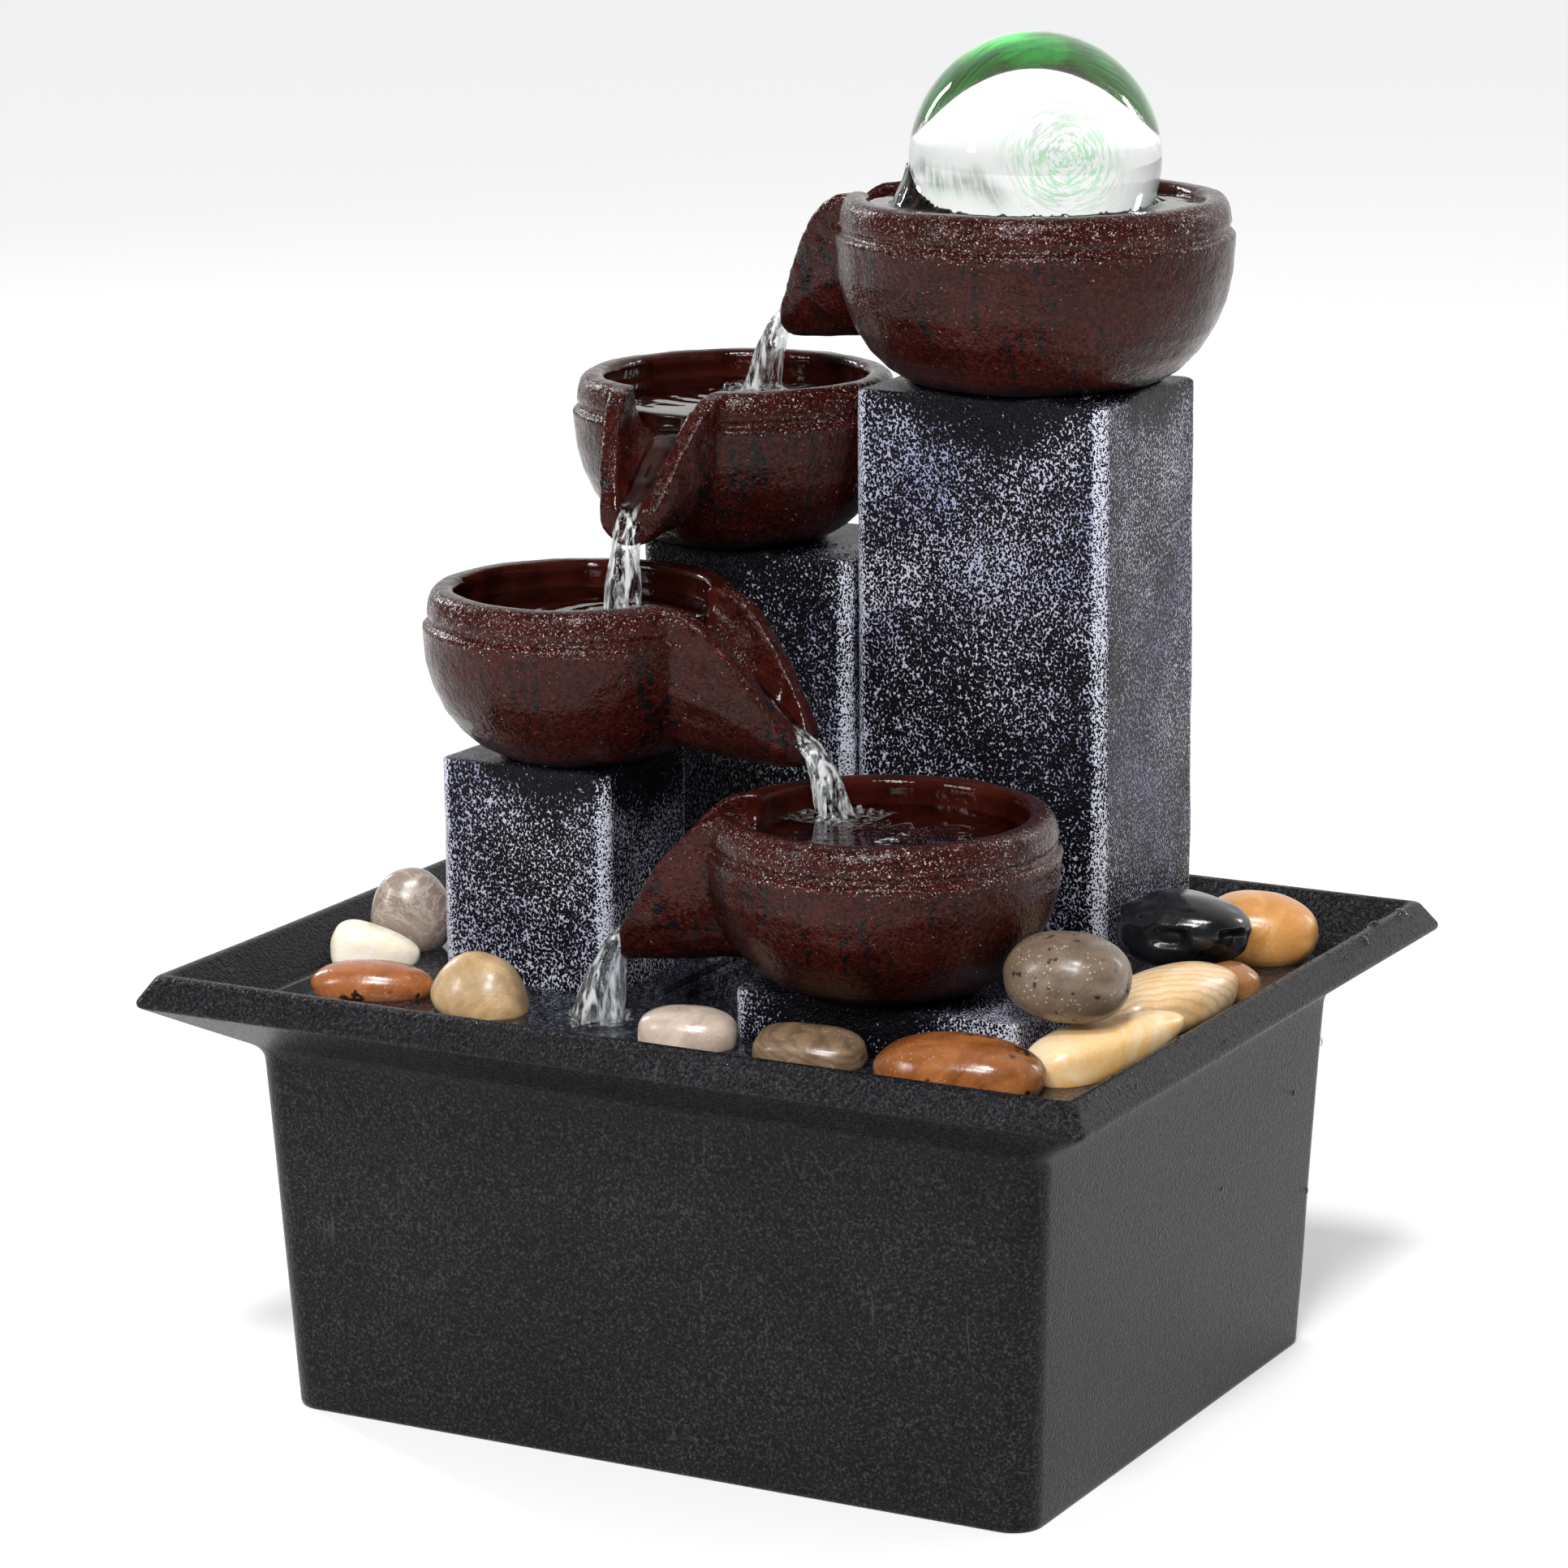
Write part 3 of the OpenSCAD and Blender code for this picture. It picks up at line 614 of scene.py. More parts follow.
def rounded_rectangle(width, depth, radius, z, per_corner=14, per_side=12):
    """Points of a rounded rectangle, counter-clockwise from above."""

    def on_corner(quarter, degrees):
        a = math.radians(90 * quarter + degrees)
        x = (width / 2 - radius) * (1 if quarter % 4 in (0, 3) else -1)
        y = (depth / 2 - radius) * (1 if quarter % 4 < 2 else -1)
        return x + radius * math.cos(a), y + radius * math.sin(a), z

    out = []
    for quarter in range(4):
        out += [on_corner(quarter, 90 * k / per_corner) for k in range(per_corner + 1)]
        last, target = np.array(out[-1]), np.array(on_corner(quarter + 1, 0))
        out += [tuple(last + (target - last) * k / per_side) for k in range(1, per_side)]
    return out


def basin_stations(outline):
    """Rounded rectangles from (how much wider than the basin's body, corner radius, height)."""
    low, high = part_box("basin")
    width = high.x - low.x - RIM_OVERHANG
    depth = high.y - low.y - RIM_OVERHANG
    return [(width + wider, depth + wider, corner, z) for wider, corner, z in outline]


def fillet(points, radii, steps=5):
    """Rounds the corners of an open line of (width, depth, corner radius, z) stations."""
    out = [points[0]]
    for i in range(1, len(points) - 1):
        p0, p1, p2 = (np.array(points[i + k], float) for k in (-1, 0, 1))
        key = [0, 3]
        a = (p0 - p1)[key] * [0.5, 1]
        b = (p2 - p1)[key] * [0.5, 1]
        cut = min(radii[i], 0.45 * np.hypot(*a), 0.45 * np.hypot(*b))
        start = p1 + (p0 - p1) * cut / np.hypot(*a)
        end = p1 + (p2 - p1) * cut / np.hypot(*b)
        for k in range(steps + 1):
            t = k / steps
            out.append((1 - t) ** 2 * start + 2 * t * (1 - t) * p1 + t * t * end)
    out.append(points[-1])
    return out


def subdivide(points, longest):
    out = [np.array(points[0], float)]
    for p in points[1:]:
        p = np.array(p, float)
        gap = np.abs(p - out[-1]).max()
        count = max(1, int(math.ceil(gap / longest)))
        start = out[-1]
        for k in range(1, count + 1):
            out.append(start + (p - start) * k / count)
    return out


def make_basin():
    _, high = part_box("basin")
    tray_low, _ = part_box("tray")
    crest_z = high.z
    lip_z = crest_z - RIM_DROP
    body_z = tray_low.z - 0.2 * MM
    foot = -8 * MM
    crest = RIM_OVERHANG - 2 * BEVEL_WIDTH
    sill = 2 * MM
    walls = 2 * BASIN_WALL
    corner = 6.5 * MM
    inner_corner = corner - BASIN_WALL
    stations = basin_stations([
        (foot - 5 * MM, corner - 2.5 * MM, 0),
        (foot, corner, 0),
        (0, corner, body_z),
        (RIM_OVERHANG, 2.0 * MM, lip_z - 0.8 * MM),
        (RIM_OVERHANG, 2.0 * MM, lip_z + 0.3 * MM),
        (crest, 1.8 * MM, crest_z),
        (crest - 2 * CREST_WIDTH, 1.4 * MM, crest_z),
        (-sill, corner - 1 * MM, body_z + 3 * MM),
        (-sill, corner - 1 * MM, body_z),
        (-walls, inner_corner, body_z),
        (foot - walls, inner_corner, BASIN_FLOOR),
        (foot - walls - 6 * MM, inner_corner - 1 * MM, BASIN_FLOOR),
    ])
    radii = (0, 1.6, 3.0, 0.7, 0.7, 1.0, 0.8, 1.5, 0.4, 0.4, 2.0, 0)
    line = subdivide(fillet(stations, [r * MM for r in radii]), 7 * MM)
    basin = loft("basin_shell", [rounded_rectangle(*station) for station in line])
    co = points_of(basin)
    normal = normals_of(basin)
    outside = smoothstep(co[:, 2], 4 * MM, 14 * MM)
    co += normal * (noise(co, 45 * MM, 3, 2) * 0.22 * MM * outside)[:, None]
    set_points(basin, co)
    paint(basin, "rim", smoothstep(co[:, 2], lip_z - 3 * MM, lip_z))
    wear(basin, basin_paint())
    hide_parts("basin")
    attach(basin, "basin")
    return basin


# Bowls

FINE_VOXEL = 0.62 * MM
COARSE_VOXEL = 0.8 * MM
BOWL_WALL = 5 * MM
BOWL_FLOOR = 6 * MM
RIDGE_DOWN = 8 * MM
GROOVE_DOWN = 6.6 * MM


class Bowl:
    """Axis, foot radius, rim radius, heights, and the spout's way and reach, from the CAD mesh."""

    def __init__(self, node):
        self.node = node
        co = points_of(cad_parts[node])
        self.base, self.top = co[:, 2].min(), co[:, 2].max()
        sole = co[co[:, 2] < self.base + 0.05 * MM]
        self.x, self.y = ((sole.min(0) + sole.max(0)) / 2)[:2]
        self.foot = np.ptp(sole[:, 1]) / 2
        flare, water_down = (19, 1.8) if node == "bowl_top" else (20, 5.5)
        self.rim = self.foot + flare * MM
        flat = co[:, :2] - [self.x, self.y]
        far = np.hypot(*flat.T)
        self.reach = far.max()
        tip = flat[far > self.reach - 1.2 * MM].mean(0)
        self.way = tip / np.hypot(*tip)
        self.level = self.top - water_down * MM
        self.inner = self.rim - BOWL_WALL

    def local(self, co):
        """Distance from the axis, way along the spout, and way across it."""
        flat = co[:, :2] - [self.x, self.y]
        along = flat @ self.way
        across = flat @ [-self.way[1], self.way[0]]
        return np.hypot(*flat.T), along, across

    def at(self, along, across, z):
        side = np.array([-self.way[1], self.way[0]])
        x, y = np.array([self.x, self.y]) + along * self.way + across * side
        return vec(x, y, z)


def make_bowl(bowl, enamel):
    """Hand-made bowl: lumpy and hammered, with a broken ridge, wet inside and black at its foot."""
    piece = copy_of(bowl.node, bowl.node + "_cast")
    remesh(piece, FINE_VOXEL, 5)
    co = points_of(piece)
    normal = normals_of(piece)
    far, along, across = bowl.local(co)
    radial = (co[:, :2] - [bowl.x, bowl.y]) / np.maximum(far, 1e-6)[:, None]
    outward = (normal[:, :2] * radial).sum(1)
    down = bowl.top - co[:, 2]
    spout = smoothstep(along, bowl.rim - 1 * MM, bowl.rim + 5 * MM)
    outer = smoothstep(outward, 0.1, 0.5) * (1 - spout)
    groove = bell(down, GROOVE_DOWN, 0.55 * MM) * 0.42 * MM
    ridge = bell(down, RIDGE_DOWN, 0.7 * MM) * 0.22 * MM
    lumps = noise(co, 9 * MM, 5, 2) * 0.28 * MM
    knobs = noise(co, 4.5 * MM, 9, 2) * 0.4 * MM * spout
    broken = smoothstep(noise(co, 14 * MM, 21), -0.5, 0.1)
    hammered = noise(co, 0.95 * MM, 57) * 0.055 * MM * smoothstep(outward, -0.1, 0.3)
    raised = outer * (ridge - groove) * (0.45 + 0.55 * broken)
    co += normal * (lumps + knobs + hammered + raised)[:, None]
    low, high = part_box(bowl.node)
    co = np.clip(co, np.array(low), np.array(high))
    set_points(piece, co)
    wet_bowl = smoothstep(-outward, 0.0, 0.3) * smoothstep(bowl.rim - far, 1.5 * MM, 3 * MM)
    floor = smoothstep(normal[:, 2], 0.6, 0.9) * smoothstep(bowl.rim - far, 4 * MM, 6 * MM)
    gutter = smoothstep(5.5 * MM - np.abs(across), 0, 2 * MM) * smoothstep(normal[:, 2], 0.0, 0.4)
    gutter *= smoothstep(along, bowl.inner - 4 * MM, bowl.inner)
    wet = np.maximum(np.maximum(wet_bowl, floor * smoothstep(down, 8 * MM, 12 * MM)), gutter)
    paint(piece, "wet", wet)
    angle = np.arctan2(-across, -along)
    paint(piece, "polar", np.stack([angle * bowl.rim, -down, far * 0.3], 1))
    belly = smoothstep(down, RIDGE_DOWN, RIDGE_DOWN + 2 * MM) * smoothstep(outward, 0.0, 0.3)
    paint(piece, "band", belly * (1 - wet))
    lip = (1 - smoothstep(down, RIDGE_DOWN, RIDGE_DOWN + 3 * MM)) * smoothstep(outward, -0.1, 0.3)
    neck = smoothstep(along, bowl.rim * 0.6, bowl.rim) * smoothstep(down, 2 * MM, 5 * MM)
    # gloss marks the glossier rim; it also thickens the painted highlight flecks there
    paint(piece, "gloss", lip * (1 - 0.8 * neck))
    joint = bell(along, bowl.rim * 0.86, 1.3 * MM) * smoothstep(np.abs(across), 8 * MM, 11 * MM)
    paint(piece, "seam", joint * smoothstep(down, 6 * MM, 9 * MM) * (1 - wet))
    rise = co[:, 2] - bowl.base
    edge_of_black = 3.2 * MM + noise(co, 5 * MM, 33, 2) * 1.6 * MM
    collar = 1 - smoothstep(rise - edge_of_black, -1.5 * MM, 1.5 * MM)
    paint(piece, "foot", collar * smoothstep(outward, -0.2, 0.3))
    wear(piece, enamel)
    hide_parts(bowl.node)
    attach(piece, "tower")
    return piece


# Columns

def make_column(node, bowl, neighbour, finish):
    """Soft-edged column, with painted shade round its own bowl's foot and behind a neighbouring
    bowl.
    """
    piece = copy_of(node, node + "_cast")
    remesh(piece, COARSE_VOXEL, 4)
    co = points_of(piece)
    normal = normals_of(piece)
    low, high = (np.array(corner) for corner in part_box(node))
    co += normal * (noise(co, 16 * MM, 31, 3) * 0.35 * MM)[:, None]
    co = np.clip(co, low, high)
    set_points(piece, co)
    inset = np.minimum(co - low, high - co)
    edge = 1 - smoothstep(inset[:, 0] + inset[:, 1], 1.6 * MM, 3.6 * MM)
    shoulder = high[2] - co[:, 2]
    near_foot = bowl.local(co)[0] - bowl.foot
    rough = noise(co, 6 * MM, 41, 2) * 3 * MM
    away = np.maximum(near_foot, 0) + 0.8 * np.maximum(shoulder - 2 * MM, 0)
    # painted shade: dark round and under the column's own bowl, fading down from the top
    dark = 1 - smoothstep(away + rough, 2 * MM, 17 * MM)
    # painted shade, half as dark, near the rim of a neighbouring bowl
    if neighbour:
        beside = neighbour.local(co)[0] - neighbour.rim
        gap = np.hypot(np.maximum(beside, 0), co[:, 2] - neighbour.top) + rough
        dark = np.maximum(dark, 0.5 * (1 - smoothstep(gap, 6 * MM, 45 * MM)))
    paint(piece, "edge", edge)
    paint(piece, "shade", dark)
    wear(piece, finish)
    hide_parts(node)
    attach(piece, "tower")
    return piece


# Pebbles

class Stone:
    """Middle, axes and half sizes of a pebble, from the CAD mesh."""

    def __init__(self, node):
        co = points_of(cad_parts[node])
        middle = co.mean(0)
        _, _, axes = np.linalg.svd(co - middle, full_matrices=False)
        if axes[0][0] < 0:
            axes[0] = -axes[0]
        if axes[2][2] < 0:
            axes[2] = -axes[2]
        axes[1] = np.cross(axes[2], axes[0])
        along = (co - middle) @ axes.T
        self.middle = middle + ((along.min(0) + along.max(0)) / 2) @ axes
        self.axes = axes
        self.half = np.ptp(along, axis=0) / 2


def make_pebble(node, finish, slot, seed, power=2.3, taper=0.0, lumps=0.05, dents=0.0):
    """Superellipsoid, tapered, lumpy and dented, fitted to the CAD pebble's axes and size."""
    stone = Stone(node)
    obj = spheres(node + "_stone", 5, [(1.0, Matrix())])
    d = points_of(obj)
    d /= np.linalg.norm(d, axis=1)[:, None]
    size = (np.abs(d) ** power).sum(1) ** (-1 / power)
    size = size * (1 + lumps * noise(d, 0.9, seed, 2))
    if dents:
        size = size * (1 - dents * smoothstep(noise(d, 0.55, seed + 50), 0.1, 0.6))
    p = d * size[:, None]
    squeeze = 1 - taper * p[:, 0]
    p[:, 1] *= squeeze
    p[:, 2] *= squeeze
    middle = (p.max(0) + p.min(0)) / 2
    p = (p - middle) / (np.ptp(p, axis=0) / 2) * stone.half
    set_points(obj, p)
    matrix = Matrix([list(stone.axes[:, i]) for i in range(3)]).to_4x4()
    obj.matrix_world = Matrix.Translation(stone.middle) @ matrix
    wear(obj, finish)
    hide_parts(node)
    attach(obj, "tower")
    return obj


SHAPE_FACTS = ("slot", "power", "taper", "lumps", "dents")


def facts(slot, base, second, **others):
    """What make_pebble and stone_paint are told about one pebble."""
    return dict(slot="stone_" + slot, base=base, second=second, **others)


PEBBLES = {
    "grey_upright": facts(
        "grey_brown", (0.2, 0.15, 0.12), (0.34, 0.27, 0.22), power=2.2, taper=0.1,
        vein=(0.5, 0.43, 0.36), gloss=0.26),
    "cream_wedge": facts(
        "cream", (0.9, 0.76, 0.52), (0.97, 0.93, 0.84), power=2.8, taper=0.35, gloss=0.28),
    "rust_flat": facts(
        "rust", (0.25, 0.07, 0.02), (0.42, 0.15, 0.05), power=2.2, taper=0.05, spots=160,
        gloss=0.22),
    "tan_leaning": facts(
        "tan", (0.42, 0.26, 0.12), (0.66, 0.47, 0.26), power=2.4, taper=0.3,
        stain=(0.3, 0.2, 0.1), gloss=0.32),
    "pale_quartz": facts("pale", (0.42, 0.32, 0.25), (0.64, 0.52, 0.43), power=2.5, gloss=0.26),
    "olive_striped": facts(
        "olive", (0.14, 0.085, 0.045), (0.27, 0.18, 0.11), power=3.0, taper=0.05, lumps=0.08,
        vein=(0.07, 0.045, 0.025), bands=210.0, gloss=0.32),
    "orange_spotted": facts(
        "orange", (0.2, 0.058, 0.014), (0.36, 0.13, 0.036), taper=0.05, spots=105, gloss=0.22),
    "cream_long": facts(
        "cream", (0.88, 0.66, 0.4), (0.94, 0.8, 0.58), power=2.5, taper=0.38,
        stain=(0.86, 0.46, 0.1), gloss=0.3),
    "striped_flat": facts(
        "striped", (0.84, 0.62, 0.38), (0.9, 0.74, 0.55), taper=0.1, vein=(0.5, 0.3, 0.18),
        stain=(0.85, 0.5, 0.16), bands=190.0, gloss=0.28),
    "speckled_round": facts(
        "speckled", (0.115, 0.078, 0.05), (0.2, 0.14, 0.095), spots=420, flecks=1.0, gloss=0.34),
    "black_lump": facts(
        "black", (0.006, 0.006, 0.007), (0.012, 0.012, 0.014), power=2.2, taper=0.12, lumps=0.1,
        dents=0.14, flecks=0.0, gloss=0.12),
    "orange_large": facts(
        "orange", (0.62, 0.27, 0.065), (0.8, 0.45, 0.15), taper=0.1, stain=(0.52, 0.21, 0.05),
        gloss=0.28),
    "brown_small": facts("rust", (0.28, 0.11, 0.035), (0.42, 0.2, 0.08), power=2.2, gloss=0.2),
    "tan_hidden": facts("tan", (0.4, 0.28, 0.14), (0.55, 0.42, 0.25), taper=0.15, gloss=0.28),
    "grey_hidden": facts("pale", (0.25, 0.23, 0.21), (0.38, 0.35, 0.32), power=2.4),
    "rust_hidden": facts("rust", (0.28, 0.1, 0.03), (0.4, 0.18, 0.07), taper=0.1, gloss=0.2),
    "cream_hidden": facts(
        "cream", (0.65, 0.48, 0.28), (0.8, 0.68, 0.48), power=2.4, taper=0.1, gloss=0.28),
    "dark_hidden": facts("speckled", (0.03, 0.027, 0.025), (0.06, 0.052, 0.047), taper=0.1),
}


# Water

BALL_FILM = 0.3 * MM
WATER_OVER_TRAY = 3.5 * MM
FLAT_DROP = 0.55
RIM_DROPS = 150
RIM_DROPS_RIGHT = 0.62
COLUMN_DROPS = 90


def pool_profile(bowl):
    """Half section of a bowl's water, dug slightly into the casting, up to its level."""
    depth = bowl.level - bowl.base - BOWL_FLOOR
    floor_inset, overlap = 16.5 * MM, 0.6 * MM
    points = []
    for k in range(9):
        t = math.radians(90 * k / 8)
        r = bowl.inner - floor_inset + (floor_inset + overlap) * math.sin(t)
        points.append((r, bowl.level - depth * math.cos(t)))
    points.append((bowl.inner + 1.1 * MM, bowl.level))
    return points


def pool_solid(bowl):
    profile = pool_profile(bowl)
    profile += [(0.2 * MM, bowl.level), (0.2 * MM, bowl.base + BOWL_FLOOR)]
    return turned("pool", (bowl.x, bowl.y), lambda angle: profile)


def ring_solid(bowl, left_angle):
    """The top bowl's water, round the ball, with a hump where the ball throws it up."""
    ball_low, ball_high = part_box("ball")
    seat_low, seat_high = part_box("ball_seat")
    ball_z = (ball_low.z + ball_high.z) / 2
    ball_r = (ball_high.z - ball_low.z) / 2
    seat_r = (seat_high.x - seat_low.x) / 2 + BALL_FILM

    def skin(z):
        return math.sqrt((ball_r + BALL_FILM) ** 2 - (z - ball_z) ** 2)

    outer = pool_profile(bowl)

    def profile_at(angle):
        turn = math.remainder(angle - left_angle, 2 * math.pi)
        hump = math.exp(-(turn / 0.42) ** 2)
        rise = (1.2 + 8.5 * hump) * MM
        flare = (1.6 + 3.6 * hump) * MM
        points = list(outer)
        for t in np.linspace(0, 1, 9):
            z = bowl.level + rise * t
            points.append((skin(z) + 0.1 * MM + flare * (1 - t) ** 1.8, z))
        for z in np.linspace(bowl.level + rise - 0.1 * MM, seat_high.z + 1 * MM, 9):
            points.append((skin(z), z))
        return points + [(seat_r, seat_high.z), (seat_r, bowl.base + BOWL_FLOOR)]

    return turned("ring", (bowl.x, bowl.y), profile_at)


def stream_solid(bowl, casting, end_along, end_z, start_size, end_size, seed):
    """Water running down the spout, and falling from its tip to end_z."""
    path = []
    start = bowl.rim - 9 * MM
    for s in np.linspace(start, bowl.reach - 0.6 * MM, 16):
        hit, *_ = casting.ray_cast(Vector(bowl.at(s, 0, bowl.top + 8 * MM)), Vector((0, 0, -1)))
        ground = hit.z if hit else bowl.top - 25 * MM
        share = (s - start) / (bowl.reach - start)
        deep = start_size[1] * (1.15 - 0.15 * share)
        z = min(bowl.level - 0.6 * MM, ground + deep * 0.4)
        path.append((s, z, start_size[0] * (1.3 - 0.3 * share), deep))
    s0, z0, w0, h0 = path[-1]
    drop = z0 - end_z
    run = end_along - s0
    for k in range(1, 17):
        t = k / 16
        z = z0 - drop * (0.22 * t + 0.78 * t * t)
        squeeze = 1 - 0.14 * math.sin(math.pi * min(1, 1.3 * t))
        w = (w0 + (end_size[0] - w0) * t) * squeeze
        h = (h0 + (end_size[1] - h0) * t) * squeeze
        path.append((s0 + run * t ** 0.9, z, w, h))
    rings = []
    for i, (s, z, w, h) in enumerate(path):
        a = path[max(i - 1, 0)]
        b = path[min(i + 1, len(path) - 1)]
        slope = np.array([b[0] - a[0], b[1] - a[1]])
        slope /= np.hypot(*slope)
        up = np.array([-slope[1], slope[0]])
        if up[1] < 0:
            up = -up
        ring = []
        for angle in np.linspace(0, 2 * math.pi, 28, endpoint=False):
            flute = 1 + 0.1 * math.sin(5 * angle + seed + 0.15 * i)
            side = w / 2 * math.cos(angle) * flute
            lift = h / 2 * math.sin(angle) * flute
            ring.append(bowl.at(s + up[0] * lift, side, z + up[1] * lift))
        rings.append(ring)
    return loft("stream", rings)


def landing_rings(co, place, size, height):
    """Round ripples on a level surface about a landing."""
    away = np.hypot(co[:, 0] - place[0], co[:, 1] - place[1])
    return height * np.cos(2 * math.pi * away / size) * np.exp(-away / (2.2 * size))


def bubbles(name, place, spread, count, seed, low=0.35 * MM, high=0.9 * MM):
    """Foam: a cluster of small bubbles round a landing."""
    rng = np.random.default_rng(seed)
    places = []
    for _ in range(count):
        angle = rng.uniform(0, 2 * math.pi)
        away = abs(rng.normal(0, spread))
        radius = rng.uniform(low, high)
        at = (
            place[0] + away * math.cos(angle), place[1] + away * math.sin(angle),
            place[2] + rng.uniform(-0.3, 0.3) * radius,
        )
        places.append((radius, Matrix.Translation(at)))
    return spheres(name, 2, places)


def make_cascade(bowls, castings):
    """All the water of the four bowls and their streams, as one closed skin."""
    top, rear, left, front = (bowls[n] for n in BOWLS)
    left_angle = math.radians(180 + CAMERA_AZIMUTH)
    # The height and distance where each stream ends, and its first and last width and depth in mm.
    falls = (
        (top, rear.level - 2 * MM, 65 * MM, (8, 3), (10, 7)),
        (rear, left.level - 2 * MM, 51 * MM, (7, 2.6), (8.5, 5)),
        (left, front.level - 2 * MM, 61.5 * MM, (7.5, 2.6), (8, 8)),
        (front, pool_level() - 1.5 * MM, 59 * MM, (8, 2.8), (12, 11)),
    )
    parts = [ring_solid(top, left_angle)] + [pool_solid(b) for b in (rear, left, front)]
    ends = {}
    for seed, (bowl, end_z, along, first, last) in enumerate(falls):
        first = [v * MM for v in first]
        last = [v * MM for v in last]
        tree = castings[bowl.node]
        parts.append(stream_solid(bowl, tree, along, end_z, first, last, seed))
        ends[bowl.node] = bowl.at(along, 0, end_z + 2 * MM)
    water = join("falling_water", parts)
    remesh(water, FINE_VOXEL, 3)
    co = points_of(water)
    normal = normals_of(water)
    level = np.zeros(len(co))
    ripple = np.zeros(len(co))
    sources = ((rear, "bowl_top"), (left, "bowl_rear"), (front, "bowl_left"), (top, None))
    for bowl, source in sources:
        far = bowl.local(co)[0]
        at_level = bell(co[:, 2], bowl.level, 0.6 * MM) * (far < bowl.inner + 1.5 * MM)
        level = np.maximum(level, at_level)
        ripple += at_level * noise(co, 7 * MM, 77, 2) * 0.08 * MM
        if source:
            ripple += at_level * landing_rings(co, ends[source], 5 * MM, 0.14 * MM)
    wrinkle = noise(co * [1, 1, 0.3], 2.4 * MM, 61, 2) * 0.34 * MM
    co += normal * (ripple + wrinkle * (1 - level))[:, None]
    set_points(water, co)
    fall = np.zeros(len(co))
    for bowl, end_z, along, first, last in falls:
        far, run, across = bowl.local(co)
        near = smoothstep(run, bowl.reach - 3 * MM, bowl.reach + 1 * MM) * (np.abs(across) < 8 * MM)
        above = smoothstep(co[:, 2], end_z + 1 * MM, end_z + 4 * MM) * (co[:, 2] < bowl.top)
        fall = np.maximum(fall, near * above * (run < along + 9 * MM))
    paint(water, "fall", fall)
    wear(water, water_paint())
    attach(water, "tower")
    foam_paint = water_paint("foam", (0.99, 1.0, 1.0), 0.3)
    for i, name in enumerate(BOWLS):
        foam = bubbles("foam_" + name, ends[name], 3.6 * MM, 60, 100 + i)
        paint(foam, "fall", np.full(len(foam.data.vertices), 0.4))
        wear(foam, foam_paint)
        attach(foam, "tower" if name != "bowl_front" else "basin")
    return ends


def make_droplets(name, body, tree, rays, seed):
    """Drops of water where rays meet a casting. Each ray is (start, way, radius)."""
    rng = np.random.default_rng(seed)
    places = []
    for start, way, radius in rays:
        hit, normal, *_ = tree.ray_cast(Vector(start), Vector(way))
        if hit is None:
            continue
        turn = normal.to_track_quat("Z", "Y").to_matrix().to_4x4()
        shape = Matrix.Diagonal((1, rng.uniform(1, 1.35), FLAT_DROP, 1))
        places.append((radius, Matrix.Translation(hit) @ turn @ shape))
    obj = spheres(name, 3, places)
    wear(obj, water_paint(name + "_water"))
    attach(obj, body)
    return obj


def make_splashes(basin, rear_column):
    """Drops on the rim and right wall of the basin, and on top of the rear column."""
    rng = np.random.default_rng(7)
    low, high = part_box("basin")
    size = high - low
    down, inward = (0, 0, -1), (-1, 0, 0)
    above = high.z + 9 * MM
    wall_drops = (
        (0.88, 0.7, 1.0), (0.9, 0.42, 0.9), (0.86, 0.36, 0.6), (0.8, 0.62, 0.5), (0.6, 0.5, 0.4),
    )
    rim_drops = ((0.92, 3.2, 1.5), (0.86, 5.4, 1.0), (0.8, 2.6, 1.1), (0.3, 4.4, 0.8))
    rays = [
        ((high.x + size.x * 0.1, low.y + size.y * along, high.z * up), inward, radius * MM)
        for along, up, radius in wall_drops
    ]
    for along, across, radius in rim_drops:
        start = (high.x - across * MM, low.y + size.y * along, above)
        rays.append((start, down, radius * MM))
    for _ in range(RIM_DROPS):
        along = rng.uniform(0.03, 0.97)
        across = rng.uniform(0.8, 7.5) * MM
        radius = rng.uniform(0.14, 0.34) * MM
        if rng.uniform() < RIM_DROPS_RIGHT:
            start = (high.x - across, low.y + size.y * along, above)
        else:
            start = (low.x + size.x * along, low.y + across, above)
        rays.append((start, down, radius))
    make_droplets("basin_droplets", "basin", tree_of(basin), rays, 11)
    low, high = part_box("column_rear")
    size = high - low
    rays = []
    for _ in range(COLUMN_DROPS):
        x = low.x + size.x * rng.uniform(0.03, 0.97)
        y = low.y + size.y * rng.uniform(0.01, 0.45)
        rays.append(((x, y, high.z + 1 * MM), down, rng.uniform(0.15, 0.5) * MM))
    make_droplets("column_droplets", "tower", tree_of(rear_column), rays, 12)


def pool_level():
    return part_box("tray")[1].z + WATER_OVER_TRAY


